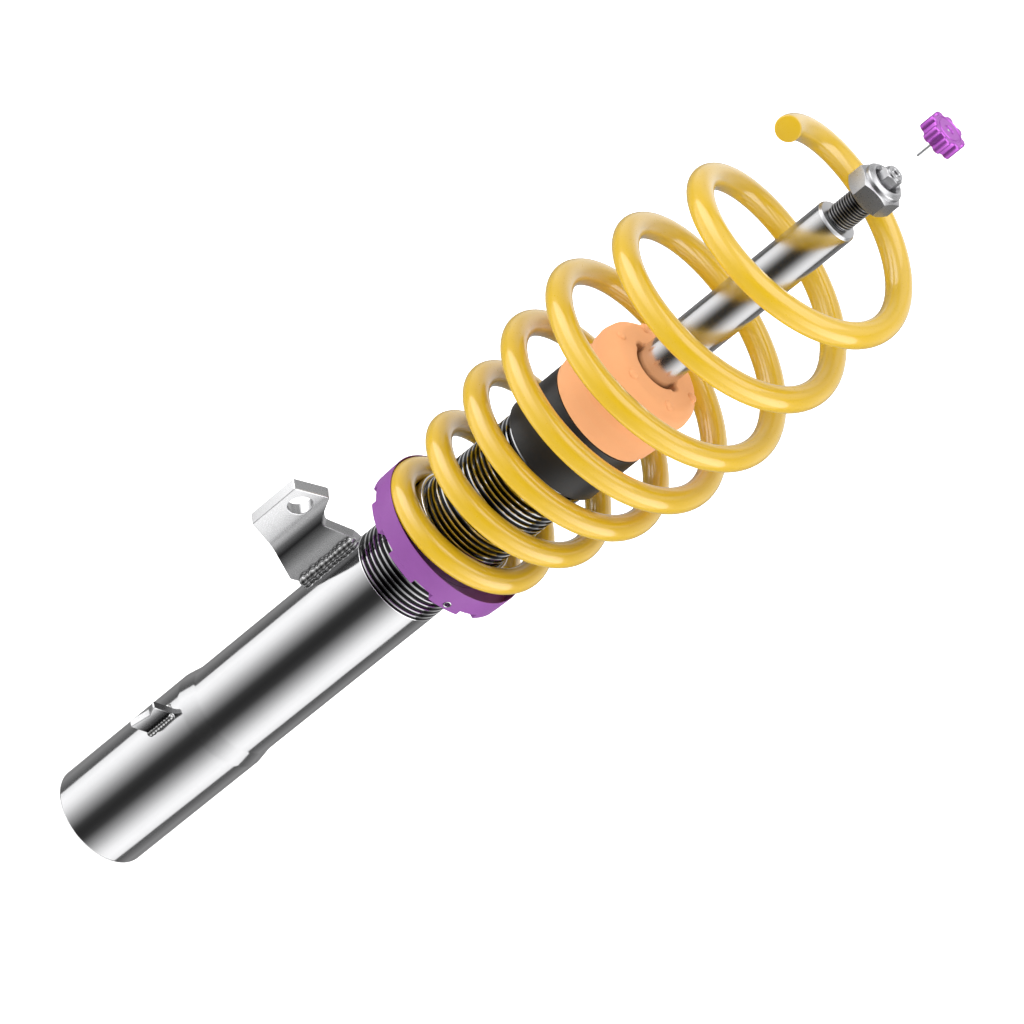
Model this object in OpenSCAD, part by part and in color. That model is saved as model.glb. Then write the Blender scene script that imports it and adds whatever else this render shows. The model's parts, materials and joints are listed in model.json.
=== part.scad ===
// Adjustable coilover strut for a front axle.
// +Z runs along the damper from the clamped foot to the piston rod. The foot's flat is at z = 0.
// -X is the side of the link bracket, -Y is the side of the locating lug.

/* [Tube] */
// Outer radius of the clamped foot of the tube
foot_r = 27.5; // [26.5:0.1:33]
// Length of the clamped foot
foot_len = 92; // [76:0.1:112]
// Length of the cone between foot and body
cone_len = 10; // [6:0.5:14]
// Step from the foot's radius down to the body's radius, which is also the thread's crest
body_step = 1.7; // [1:0.1:2.5]
// Length of the plain body between cone and thread
plain_len = 121; // [100:0.1:146]
// Length of the threaded stretch up to the tube's mouth
thread_len = 129; // [107:0.1:155]
// Wall of the tube
tube_wall = 2.5; // [2:0.1:3]
// Rounding of the foot's outer edge
foot_round = 2; // [1:0.1:2.4]

/* [Body thread] */
// Pitch of the height thread
thread_pitch = 3; // [2.5:0.1:3.6]
// Depth of the height thread
thread_depth = 1; // [0.6:0.1:1.2]

/* [Locating lug] */
// Distance from the lug's lower end up to the end of the foot
lug_drop = 27; // [26:0.5:40]
// Length of the lug along the tube
lug_len = 24; // [16:0.5:25]
// How far the lug stands out of the tube
lug_out = 11.5; // [8:0.5:14]
// Thickness of the lug
lug_t = 4; // [3:0.1:5]
// Angle of the lug around the tube, from +X
lug_angle = -132; // [-150:1:-110]

/* [Link bracket] */
// Height of the bracket's welded edge above the cone's upper end
bracket_lift = 80.5; // [60:0.5:82]
// Length of the welded edge
bracket_base = 37; // [28:0.5:38]
// Thickness of the bracket plate
bracket_t = 6.5; // [5:0.1:7.5]
// Angle of the bracket's foot around the tube, from +X
bracket_angle = -167; // [-175:1:-150]
// Angle of the welded leg, from +X
leg_angle = -159.4; // [-165:0.1:-150]
// Bend between welded leg and ear
bracket_bend = 22.4; // [15:0.1:26]
// Radius of the bend on its inner face
bend_r = 22; // [12:0.5:26]
// Straight length of the welded leg
leg_len = 18.9; // [16:0.1:22]
// Straight length of the ear
ear_len = 17.3; // [15:0.1:21]
// Distance from the bend to the centre of the link hole
link_hole_out = 6.5; // [5:0.1:8]
// Height of the link hole above the welded edge's lower end
link_hole_lift = 34.7; // [32:0.1:35]
// Radius of the link hole
link_hole_r = 6.1; // [5:0.05:6.6]

/* [Damper inside] */
// Space for oil between the pressure tube and the body
oil_gap = 4.3; // [3.5:0.1:5.2]
// Wall of the pressure tube
pressure_wall = 1.5; // [1:0.1:2]
// Thickness of the foot cap
cap_t = 8; // [5:0.5:10]
// Thickness of the foot valve's flange
valve_flange_t = 4; // [3:0.5:6]
// Depth of the foot valve inside the pressure tube
valve_spigot_t = 8; // [5:0.5:10]
// Thickness of the rod guide
guide_t = 14; // [10:0.5:16]
// Thickness of the rod seal
seal_t = 6; // [4:0.5:8]
// Depth of the gland nut inside the tube
gland_depth = 4; // [3:0.5:6]
// Thickness of the gland nut's rim above the tube's mouth
gland_rim = 3; // [2:0.5:4]

/* [Piston rod] */
// Radius of the piston rod
rod_r = 11; // [9.1:0.05:12.5]
// Stroke of the rod into the tube
rod_stroke = 110; // [80:1:140]
// Space between the bump stop and the rod's shoulder when the rod is fully in
rod_room = 7; // [4:0.5:12]
// Radius of the rod's threaded end
stud_r = 6.95; // [6:0.05:8]
// Length of the rod's threaded end
stud_len = 30; // [26:0.5:34]
// Pitch of the stud's thread
stud_pitch = 1.5; // [1.25:0.25:2]
// Width across flats of the key end above the thread
key_af = 9.3; // [8:0.1:10]
// Height of the key end
key_len = 5.3; // [4:0.1:6]
// Step from the key's flats down to the round tip
tip_step = 0.45; // [0.1:0.05:1]
// Height of the round tip
tip_len = 1; // [0.5:0.1:1.5]
// Radius of the bore along the rod
rod_bore_r = 3; // [2.5:0.1:3.2]
// Space around the drive pin in the opening of the tip
tip_room = 0.45; // [0.2:0.05:0.6]
// Thickness of the piston
piston_t = 12; // [9:0.5:14]

/* [Top nut] */
// Width across flats of the top nut
nut_af = 22; // [19:0.5:24]
// Height of the nut's hexagon
nut_hex_h = 10.3; // [8:0.1:12]
// Height of the nut's locking collar
nut_collar_h = 3.4; // [2:0.1:4]
// Step from the nut's flats in to its locking collar
collar_step = 0.8; // [0.3:0.1:1.5]
// Height of the nut's seat above the rod's shoulder
nut_lift = 17.3; // [14:0.1:19]

/* [Adjuster knob] */
// Outer radius of the knob over its lobes
knob_r = 10.45; // [9.5:0.05:12]
// Height of the knob
knob_h = 8.3; // [7.6:0.1:10]
// Number of lobes
knob_lobes = 8; // [6:1:10]
// Radius of one lobe
lobe_r = 2.4; // [1.8:0.1:2.6]
// Height at which the knob is held off the rod's tip
knob_gap = 24.5; // [10:0.5:30]
// Depth of the socket in the knob's underside
socket_depth = 5.8; // [5.4:0.1:6.4]
// Radius of the drive pin
pin_r = 0.65; // [0.5:0.05:0.8]
// Length of the drive pin below the knob
pin_len = 11.4; // [10:0.1:14]

/* [Spring perch] */
// Height of the perch's lower edge above the start of the thread
perch_lift = 26.4; // [22:0.1:34]
// Wall of the lip around the spring
lip_wall = 0.8; // [0.6:0.1:3]
// Height of the lobes below the perch's flange
lobe_drop = 3; // [2:0.1:5]
// Thickness of the floor under the spring
floor_t = 2.4; // [2:0.1:4]
// Height of the lip around the spring
lip_h = 8.4; // [3:0.1:8.4]
// Number of spanner slots
slot_count = 9; // [6:1:10]
// Angle taken by one spanner slot
slot_angle = 15; // [10:1:18]
// Angle of the middle of one lobe, from +X
lobe_angle = -93; // [-110:1:-70]
// Wall that the slots leave standing around the insert's foot
hub_wall = 2; // [1:0.1:3]
// How far the insert's foot stands out past its collar
insert_step = 2.65; // [1.5:0.05:3.5]
// Height of the insert's collar above the floor
collar_h = 15; // [8:0.5:18]
// Wall of the insert's collar
collar_wall = 2; // [1.4:0.1:2.1]
// Radius of the locking screw
lock_r = 1.5; // [1.2:0.1:1.8]

/* [Spring] */
// Radius of the spring wire
wire_r = 6.1; // [5:0.05:7.4]
// Space between the insert's collar and the seated turn
seat_room = 0.65; // [0.4:0.05:1.2]
// Growth of the mean radius per turn in the lower cone
lower_growth = 6.3; // [4:0.1:7]
// Loss of the mean radius per turn in the upper cone
upper_loss = 3.9; // [2:0.1:5]
// Turn at which the two cones meet
waist_turn = 4; // [3.5:0.05:4.5]
// Pitch of the lower turns
coil_pitch = 32.7; // [28:0.1:38]
// Turn from which the pitch grows
open_turn = 3.5; // [3:0.1:4]
// How fast the upper turns open out
open_gain = 5.5; // [2:0.1:6]
// Free turns above the seat
free_turns = 7; // [6:0.25:7.25]
// Turns that lie on the seat
seat_turns = 0.45; // [0.3:0.05:0.6]

/* [Bump stop] */
// Space between the body's thread and the dust tube
dust_room = 0.8; // [0.5:0.1:2]
// Wall of the dust tube
dust_wall = 1.7; // [1:0.1:1.9]
// Length of the dust tube
dust_len = 32; // [24:1:40]
// How far the dust tube's upper edge stands above the tube's mouth
dust_out = 11; // [9:0.5:14]
// How far the bump stop's two bulges stand out past the dust tube
bump_proud = 1.1; // [0:0.1:3]
// Depth of the waist between the bulges
waist_depth = 4.4; // [2:0.1:7]
// Height of the bump stop above the dust tube
bump_h = 37.5; // [30:0.5:40]
// Space between the rod and the bump stop
bump_room = 1.3; // [0.8:0.1:2.5]

/* [Hidden] */
$fn = 96;

running = 0.05;   // radial play of a shaft that moves in its hole
seated = 0.05;    // radial play of a piece pushed or screwed into another
apart = 0.3;      // space between soft or curved faces of different bodies
over = 0.5;       // how far a cutting shape passes the face it cuts
edge = 0.8;       // chamfer of a turned edge

// heights along the strut
cone_z = foot_len;
plain_z = cone_z + cone_len;
thread_z = plain_z + plain_len;
mouth_z = thread_z + thread_len;
body_r = foot_r - body_step;
lug_z = foot_len - lug_drop;
foot_bore_r = foot_r - tube_wall;
body_bore_r = body_r - tube_wall;
pressure_r = body_bore_r - oil_gap;
bore_r = pressure_r - pressure_wall;

seal_z = mouth_z - gland_depth - seal_t;
guide_z = seal_z - guide_t;
guide_spigot = 6;
bush_wall = 1.5;
wiper_pocket_r = rod_r + 5;
wiper_drop = 5;
spanner_hole_r = 1.5;
pressure_z = cap_t + valve_flange_t;
valve_bolt_r = 3;
valve_pocket_r = 6;
valve_pocket_t = 3;

shoulder_z = mouth_z + dust_out + bump_h + rod_stroke + rod_room;
stud_top_z = shoulder_z + stud_len;
tip_z = stud_top_z + key_len + tip_len;
nut_z = shoulder_z + nut_lift;
nut_top_z = nut_z + nut_hex_h + nut_collar_h;
nut_collar_r = nut_af / 2 - collar_step;
stud_groove = 0.75;
tip_r = key_af / 2 - tip_step;
tip_hole_r = pin_r + tip_room;
tip_land = 10;
nut_face_angle = -80;
key_face_angle = -72;

// piston assembly, hung from the rod guide at full extension
bumper_h = 6;
bumper_gap = 0.3;
sleeve_h = 13;
shim_t = 0.6;
shim_count = 3;
shim_stack = shim_t * shim_count;
shim_r = bore_r - 3.5;
pilot_r = 6;
port_r = 1.6;
port_circle_r = (bore_r + pilot_r) / 2;
band_t = 1.3;
band_inset = 2;
piston_play = 0.25;
bumper_r = bore_r - 2;
sleeve_r = bore_r - 3;
bumper_z = guide_z - guide_spigot - bumper_gap - bumper_h;
sleeve_z = bumper_z - sleeve_h;
port_room = 5;
piston_top_z = sleeve_z - port_room - shim_stack;
piston_z = piston_top_z - piston_t;
piston_nut_h = 8;
piston_nut_z = piston_z - shim_stack - piston_nut_h;
thread_out = 4;
pilot_z = piston_nut_z - thread_out;

knob_z = tip_z + knob_gap;
knob_seat_z = nut_top_z + apart;
knob_travel = knob_z - knob_seat_z;
pin_z = knob_z - pin_len;
pin_grip = 2;
pin_hold = 3;
pin_socket = 4;
adjuster_top_z = pin_z - knob_travel + pin_hold;
adjuster_r = rod_bore_r - running;
needle_len = 2;
adjuster_z = pilot_z + needle_len;
detent_z = shoulder_z + stud_len / 2;
oring_z = shoulder_z - 8;
oring_r = 0.9;
cross_r = 1;

perch_z = thread_z + perch_lift;
flange_z = perch_z + lobe_drop;
floor_z = flange_z + floor_t;
lip_top_z = floor_z + lip_h;
insert_bore_r = body_r + running;
collar_r = insert_bore_r + collar_wall;
insert_hub_r = collar_r + insert_step;
hub_r = insert_hub_r + hub_wall;
collar_top_z = floor_z + collar_h;

wire_seat_z = floor_z + apart + wire_r;
lock_cover = 0.4;
lock_z = floor_z - lock_r - lock_cover;
seat_turn_r = collar_r + seat_room + wire_r;
lip_bore_r = seat_turn_r + wire_r + apart;
perch_r = lip_bore_r + lip_wall;
// the lip's mouth opens outward, clear of the wire as it climbs
lip_flare = lip_wall / 2;
flare_h = 2.4;
lock_sunk = 3;
socket_t = 2;

dust_top_z = mouth_z + dust_out;
dust_z = dust_top_z - dust_len;
dust_bore_r = body_r + dust_room;
dust_r = dust_bore_r + dust_wall;
bump_r = dust_r + bump_proud;
bump_waist_r = bump_r - waist_depth;
bump_bore_r = rod_r + bump_room;
bump_z = dust_top_z;
bump_top_z = bump_z + bump_h;
bump_spigot = 5.5;

chrome_grey = "silver";
cut_steel = "darkgray";
violet = "mediumpurple";
spring_yellow = "gold";

// ---- shared shapes ----

// A ring of rectangular section
module ring(outer, inner, h) {
    difference() {
        cylinder(r = outer, h = h);
        translate([0, 0, -over]) cylinder(r = inner, h = h + 2 * over);
    }
}

// Grooves that leave the crests of a thread standing, from z = 0 up
module thread_grooves(crest, depth, pitch, length) {
    flank = pitch / 4;
    for (i = [0 : floor(length / pitch) - 1])
        translate([0, 0, (i + 0.5) * pitch])
            rotate_extrude()
                polygon([[crest - depth, -flank / 2], [crest + over, -flank * 1.4],
                         [crest + over, flank * 1.4], [crest - depth, flank / 2]]);
}

// A hexagonal prism with its upper and lower corners turned off
module turned_hex(af, h) {
    corner_r = af / sqrt(3);
    bevel = (corner_r - af / 2) * 0.55;
    intersection() {
        cylinder(r = corner_r, h = h, $fn = 6);
        rotate_extrude()
            polygon([[0, 0], [af / 2, 0], [corner_r, bevel], [corner_r, h - bevel],
                     [af / 2, h], [0, h]]);
    }
}

// ---- tube and what is welded to it ----

module strut_tube() color(chrome_grey) difference() {
    rotate_extrude() {
        difference() {
            polygon([[0, 0], [foot_r, 0], [foot_r, cone_z], [body_r, plain_z], [body_r, mouth_z],
                     [0, mouth_z]]);
            translate([foot_r - foot_round, -over]) square([foot_round + over, foot_round + over]);
        }
        translate([foot_r - foot_round, foot_round]) circle(r = foot_round);
    }
    translate([0, 0, -over])
        rotate_extrude()
            polygon([[0, 0], [foot_bore_r, 0], [foot_bore_r, cone_z + over],
                     [body_bore_r, plain_z + over], [body_bore_r, mouth_z + 2 * over],
                     [0, mouth_z + 2 * over]]);
    translate([0, 0, thread_z])
        thread_grooves(body_r, thread_depth, thread_pitch, thread_len);
}

// A plain disc, its lower edge chamfered for the weld
module foot_cap() color(cut_steel) rotate_extrude()
    polygon([[0, 0], [foot_bore_r - 2 * edge, 0], [foot_bore_r - seated, 2 * edge],
             [foot_bore_r - seated, cap_t], [0, cap_t]]);

// The lug's outline, x outwards from the tube's surface and y along the tube
module lug_outline() {
    slope = lug_out * 0.25;
    root = 1.2;
    polygon([[-root, slope], [0, slope], [lug_out * 0.7, 0], [lug_out, slope],
             [lug_out * 0.8, lug_len * 0.62], [lug_out, lug_len - slope],
             [lug_out * 0.7, lug_len], [0, lug_len - slope], [-root, lug_len - slope]]);
}

module locating_lug() color(cut_steel)
    difference() {
        rotate([0, 0, lug_angle])
            translate([foot_r, -lug_t / 2, lug_z])
                rotate([90, 0, 0]) mirror([0, 0, 1])
                    linear_extrude(height = lug_t) lug_outline();
        translate([0, 0, lug_z - over]) cylinder(r = foot_r + seated, h = lug_len + 2 * over);
    }

module lug_weld() color(chrome_grey)
    difference() {
        rotate([0, 0, lug_angle])
            translate([foot_r - 1, lug_t / 2 + seated, lug_z + 4])
                linear_extrude(height = lug_len - 8)
                    polygon([[0, 0], [5, 0], [3.6, 2.4], [1, 4.4], [0, 4.4]]);
        translate([0, 0, lug_z - over]) cylinder(r = foot_r + seated, h = lug_len + 2 * over);
    }

// Carries its children to the bracket's foot, x along the welded leg, y to the leg's front face
module at_bracket() {
    translate([body_r * cos(bracket_angle), body_r * sin(bracket_angle), plain_z + bracket_lift])
        rotate([0, 0, leg_angle]) children();
}

// One face of the bent plate seen along the tube: the leg, the bend in short flats, then the ear.
// depth is how far the face lies behind the front face, which starts on the x axis.
bend_steps = 10;
function bent_face(depth) = let (r = bend_r + depth) concat(
    [[-3, -depth]],
    [for (i = [0 : bend_steps]) let (a = bracket_bend * i / bend_steps)
        [leg_len + r * sin(a), bend_r - r * cos(a)]],
    [[leg_len + r * sin(bracket_bend) + ear_len * cos(bracket_bend),
      bend_r - r * cos(bracket_bend) + ear_len * sin(bracket_bend)]]);

module bent_strip() {
    front = bent_face(0);
    back = bent_face(bracket_t);
    polygon(concat(front, [for (i = [len(back) - 1 : -1 : 0]) back[i]]));
}

// Outline of the plate seen square to its face: x outwards, y along the tube
module bracket_outline() {
    reach = leg_len + ear_len + bend_r * bracket_bend * PI / 180 - 0.5;
    root = 8;
    toe = 3.9;
    ear_low = 11.7;
    ear_high = link_hole_lift + 7.9;
    ear_tip = link_hole_lift + 12.1;
    throat = 5.6;
    polygon([[-root, 0], [0, 0], [6.5, -toe], [reach, ear_low], [reach, ear_high],
             [leg_len + 7, ear_tip], [leg_len + 2, bracket_base - 1], [leg_len - 2, bracket_base - throat],
             [3, bracket_base], [-root, bracket_base]]);
}

module link_bracket() color(chrome_grey) difference() {
    at_bracket() intersection() {
        translate([0, 0, -20]) linear_extrude(height = bracket_base + 40) bent_strip();
        rotate([0, 0, bracket_bend / 2])
            translate([0, 40, 0]) rotate([90, 0, 0]) linear_extrude(height = 80) bracket_outline();
    }
    cylinder(r = body_r + seated, h = mouth_z);
    at_bracket() translate([leg_len, bend_r, link_hole_lift]) rotate([0, 0, bracket_bend])
        translate([link_hole_out, -bend_r + over, 0]) rotate([90, 0, 0])
            cylinder(r = link_hole_r, h = bracket_t + 2 * over);
}

module bracket_weld() color(chrome_grey) difference() {
    at_bracket() {
        translate([-3, seated, 1])
            linear_extrude(height = bracket_base - 2)
                polygon([[0, 0], [6.5, 0], [5, 2.6], [2.6, 4.6], [0, 5.6]]);
        translate([-6, -bracket_t - seated, 1])
            linear_extrude(height = bracket_base - 2)
                polygon([[0, 0], [0, -5.6], [3.6, -4], [7.5, 0]]);
    }
    cylinder(r = body_r + seated, h = mouth_z);
}

// ---- damper inside the tube ----

module pressure_tube() color(cut_steel)
    translate([0, 0, pressure_z])
        ring(pressure_r, bore_r, guide_z - pressure_z);

module foot_valve() color(cut_steel) difference() {
    union() {
        translate([0, 0, cap_t]) cylinder(r = pressure_r, h = valve_flange_t);
        translate([0, 0, pressure_z]) cylinder(r = bore_r - seated, h = valve_spigot_t);
    }
    through = valve_flange_t + valve_spigot_t + 2 * over;
    translate([0, 0, cap_t - over]) cylinder(r = valve_bolt_r + seated, h = through);
    translate([0, 0, cap_t - over]) cylinder(r = valve_pocket_r, h = valve_pocket_t + over);
    for (a = [0 : 60 : 300])
        rotate([0, 0, a]) translate([(valve_pocket_r + bore_r) / 2, 0, cap_t - over])
            cylinder(r = port_r, h = through);
}

module foot_valve_shims() color(chrome_grey)
    for (i = [0 : shim_count - 1])
        translate([0, 0, pressure_z + valve_spigot_t + i * shim_t])
            ring(shim_r - 2.5 * i, valve_bolt_r + seated, shim_t);

module foot_valve_bolt() color(chrome_grey) {
    head_t = valve_pocket_t - 0.5;
    nut_t = 4;
    shims_top_z = pressure_z + valve_spigot_t + shim_stack;
    translate([0, 0, cap_t + valve_pocket_t - head_t]) turned_hex(3 * valve_bolt_r, head_t);
    translate([0, 0, cap_t + valve_pocket_t])
        cylinder(r = valve_bolt_r, h = shims_top_z + nut_t + over - cap_t - valve_pocket_t);
    translate([0, 0, shims_top_z]) turned_hex(3.3 * valve_bolt_r, nut_t);
}

module rod_guide() color(cut_steel) translate([0, 0, guide_z]) difference() {
    union() {
        cylinder(r = body_bore_r - seated, h = guide_t);
        translate([0, 0, -guide_spigot]) cylinder(r = bore_r - seated, h = guide_spigot);
    }
    translate([0, 0, -guide_spigot - over])
        cylinder(r = rod_r + bush_wall, h = guide_t + guide_spigot + 2 * over);
    for (a = [30 : 120 : 270])
        rotate([0, 0, a]) translate([pressure_r + oil_gap / 2, 0, -over])
            cylinder(r = oil_gap / 4, h = guide_t + 2 * over);
}

module guide_bush() color("darkgoldenrod")
    translate([0, 0, guide_z - guide_spigot + edge])
        ring(rod_r + bush_wall - seated, rod_r + running, guide_t + guide_spigot - 2 * edge);

module rod_seal() color("dimgray") translate([0, 0, seal_z])
    difference() {
        ring(body_bore_r - seated, rod_r + running, seal_t);
        translate([0, 0, -over]) ring(bore_r, rod_r + 3, seal_t / 3 + over);
    }

module gland_nut() color(cut_steel) difference() {
    union() {
        translate([0, 0, mouth_z - gland_depth]) cylinder(r = body_bore_r - seated, h = gland_depth + 1);
        translate([0, 0, mouth_z + seated]) cylinder(r = body_r - thread_depth / 2, h = gland_rim);
    }
    translate([0, 0, mouth_z - gland_depth - over])
        cylinder(r = rod_r + bush_wall, h = gland_depth + gland_rim + 2 * over);
    translate([0, 0, mouth_z + gland_rim - wiper_drop]) cylinder(r = wiper_pocket_r, h = wiper_drop + over);
    for (a = [0 : 90 : 270])
        rotate([0, 0, a]) translate([(wiper_pocket_r + body_r) / 2, 0, mouth_z])
            cylinder(r = spanner_hole_r, h = gland_rim + over);
}

module wiper_ring() color("dimgray") translate([0, 0, mouth_z + gland_rim - wiper_drop + seated])
    rotate_extrude()
        polygon([[rod_r + 1.2, 0], [wiper_pocket_r - seated, 0], [wiper_pocket_r - seated, wiper_drop - 0.6],
                 [rod_r + 2.4, wiper_drop - 0.6], [rod_r + 1, wiper_drop + 0.6],
                 [rod_r + running, wiper_drop + 0.2], [rod_r + running, wiper_drop - 1]]);

// ---- piston rod assembly ----

module piston_rod() color(chrome_grey) difference() {
    step_z = sleeve_z - port_room;
    union() {
        rotate_extrude()
            polygon([[0, pilot_z], [pilot_r - edge, pilot_z], [pilot_r, pilot_z + edge],
                     [pilot_r, step_z], [rod_r - edge, step_z], [rod_r, step_z + edge],
                     [rod_r, shoulder_z - 1.5 * edge], [rod_r - 1.1 * edge, shoulder_z],
                     [stud_r, shoulder_z], [stud_r, stud_top_z - edge], [stud_r - edge, stud_top_z],
                     [0, stud_top_z]]);
        translate([0, 0, stud_top_z]) rotate([0, 0, key_face_angle + 30]) turned_hex(key_af, key_len);
        translate([0, 0, stud_top_z + key_len - over]) cylinder(r = tip_r, h = tip_len + over);
    }
    translate([0, 0, pilot_z - over])
        cylinder(r = rod_bore_r, h = tip_z - tip_land - pilot_z + over);
    translate([0, 0, pilot_z]) cylinder(r = tip_hole_r, h = tip_z - pilot_z + over);
    translate([0, 0, sleeve_z - port_room / 2]) rotate([0, 90, 0])
        cylinder(r = rod_bore_r * 0.4, h = 2 * rod_r + 2 * over, center = true);
    translate([0, 0, shoulder_z + stud_pitch])
        thread_grooves(stud_r, stud_groove, stud_pitch, stud_len - 2 * stud_pitch);
}

module piston() color(cut_steel) translate([0, 0, piston_z]) difference() {
    cylinder(r = bore_r - piston_play, h = piston_t);
    translate([0, 0, -over]) cylinder(r = pilot_r + seated, h = piston_t + 2 * over);
    translate([0, 0, band_inset]) ring(bore_r + over, bore_r - band_t, piston_t - 2 * band_inset);
    for (a = [0 : 45 : 315])
        rotate([0, 0, a]) translate([port_circle_r, 0, -over]) cylinder(r = port_r, h = piston_t + 2 * over);
}

module piston_band() color("darkslategray")
    translate([0, 0, piston_z + band_inset + seated])
        ring(bore_r - running, bore_r - band_t + seated, piston_t - 2 * band_inset - 2 * seated);

// Shims on both faces of the piston, the widest against it
module piston_shims() color(chrome_grey)
    for (i = [0 : shim_count - 1]) {
        translate([0, 0, piston_top_z + i * shim_t]) ring(shim_r - 2 * i, pilot_r + seated, shim_t);
        translate([0, 0, piston_z - (i + 1) * shim_t]) ring(shim_r - 2 * i, pilot_r + seated, shim_t);
    }

module piston_nut() color(cut_steel) translate([0, 0, piston_nut_z]) difference() {
    turned_hex(3 * pilot_r, piston_nut_h);
    translate([0, 0, -over]) cylinder(r = pilot_r + seated, h = piston_nut_h + 2 * over);
}

module rebound_sleeve() color(cut_steel)
    translate([0, 0, sleeve_z]) ring(sleeve_r, rod_r + seated, sleeve_h);

module rebound_bumper() color("dimgray")
    translate([0, 0, bumper_z]) ring(bumper_r, rod_r + seated, bumper_h);

module top_nut() color("gray") translate([0, 0, nut_z]) difference() {
    union() {
        rotate([0, 0, nut_face_angle + 30]) turned_hex(nut_af, nut_hex_h);
        translate([0, 0, nut_hex_h - over])
            rotate_extrude()
                polygon([[0, 0], [nut_collar_r, 0], [nut_collar_r, nut_collar_h - 1.4 + over],
                         [nut_collar_r - 1.6, nut_collar_h + over], [0, nut_collar_h + over]]);
    }
    translate([0, 0, -over])
        cylinder(r = stud_r + seated, h = nut_hex_h + nut_collar_h + 2 * over);
}

// ---- rebound adjuster inside the rod ----

module adjuster_rod() color(cut_steel) difference() {
    rotate_extrude()
        polygon([[0, adjuster_z - needle_len], [adjuster_r / 3, adjuster_z],
                 [adjuster_r - edge, adjuster_z + 4 * needle_len], [adjuster_r, adjuster_z + 5 * needle_len],
                 [adjuster_r, adjuster_top_z], [0, adjuster_top_z]]);
    translate([0, 0, adjuster_top_z - pin_socket]) cylinder(r = pin_r + running, h = pin_socket + over);
    translate([0, 0, detent_z]) rotate([0, 90, 0])
        cylinder(r = cross_r, h = 2 * adjuster_r + 2 * over, center = true);
    translate([0, 0, oring_z])
        rotate_extrude() translate([adjuster_r - oring_r, -oring_r]) square([oring_r + over, 2 * oring_r]);
}

module adjuster_seal() color("dimgray") translate([0, 0, oring_z])
    rotate_extrude() translate([adjuster_r - oring_r / 2, 0]) circle(r = oring_r / 2, $fn = 32);

module detent_balls() color("silver")
    for (side = [-1, 1])
        translate([side * (adjuster_r - cross_r + seated), 0, detent_z])
            sphere(r = cross_r - seated, $fn = 32);

module detent_spring() color(cut_steel)
    translate([0, 0, detent_z]) rotate([0, 90, 0])
        translate([0, 0, -(adjuster_r - 2 * cross_r)])
            ring(cross_r - 2 * seated, cross_r / 2, 2 * (adjuster_r - 2 * cross_r));

module knob() color("mediumorchid") translate([0, 0, knob_z]) difference() {
    union() {
        linear_extrude(height = knob_h - 1) knob_outline(knob_r);
        translate([0, 0, knob_h - 1]) linear_extrude(height = 1) knob_outline(knob_r - 0.5);
    }
    translate([0, 0, -over]) cylinder(r = key_af / sqrt(3) + apart, h = socket_depth + over);
    cylinder(r = pin_r, h = socket_depth + pin_grip);
}

module knob_outline(r) {
    circle(r = r - lobe_r * 0.65);
    for (i = [0 : knob_lobes - 1])
        rotate([0, 0, (i + 0.5) * 360 / knob_lobes]) translate([r - lobe_r, 0]) circle(r = lobe_r, $fn = 48);
}

module knob_pin() color("silver")
    translate([0, 0, pin_z]) cylinder(r = pin_r, h = pin_len + socket_depth + pin_grip, $fn = 32);

// ---- spring ----

// Mean radius of the spring at turn t: two cones joined by a rounded crest
crest_blend = 5.8;
end_curl = 2.5;
function lower_cone(t) = seat_turn_r + lower_growth * max(t, 0);
function upper_cone(t) = lower_cone(waist_turn) - upper_loss * (t - waist_turn);
function crest(a, b) = min(a, b) - pow(max(crest_blend - abs(a - b), 0), 2) / (4 * crest_blend);
function coil_r(t) = crest(lower_cone(t), upper_cone(t))
                     - end_curl * pow(max(t - free_turns + 0.5, 0) / 0.5, 2);

// Height of the wire at turn t: it lies on the seat, then climbs and opens out
seat_blend = 0.12;
function climb(t) = t < -seat_blend ? 0 : t < seat_blend ? pow(t + seat_blend, 2) / (4 * seat_blend) : t;
function coil_z(t) = wire_seat_z + coil_pitch * climb(t) + open_gain * pow(max(t - open_turn, 0), 1.5);
function coil_point(t) = [-coil_r(t) * cos(360 * t), -coil_r(t) * sin(360 * t), coil_z(t)];

rings_per_turn = 32;
wire_sides = 16;
coil_rings = round((free_turns + seat_turns) * rings_per_turn);
function ring_turn(i) = -seat_turns + i * (free_turns + seat_turns) / coil_rings;

// Points of one ring of the wire, in the plane square to its path
function unit(v) = v / norm(v);
function wire_ring(i) =
    let (t = ring_turn(i), step = 0.002,
         along = unit(coil_point(t + step) - coil_point(t - step)),
         side = unit(cross(along, [0, 0, 1])), up = cross(side, along))
    [for (k = [0 : wire_sides - 1])
        coil_point(t) + wire_r * (cos(360 * k / wire_sides) * side + sin(360 * k / wire_sides) * up)];

module coil_spring() color(spring_yellow) {
    points = [for (i = [0 : coil_rings]) each wire_ring(i)];
    faces = concat(
        [[for (k = [0 : wire_sides - 1]) k]],
        [for (i = [0 : coil_rings - 1], k = [0 : wire_sides - 1])
            let (a = i * wire_sides + k, b = i * wire_sides + (k + 1) % wire_sides)
            [a, a + wire_sides, b + wire_sides, b]],
        [[for (k = [wire_sides - 1 : -1 : 0]) coil_rings * wire_sides + k]]);
    polyhedron(points = points, faces = faces, convexity = 10);
}

// ---- spring perch ----

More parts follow.
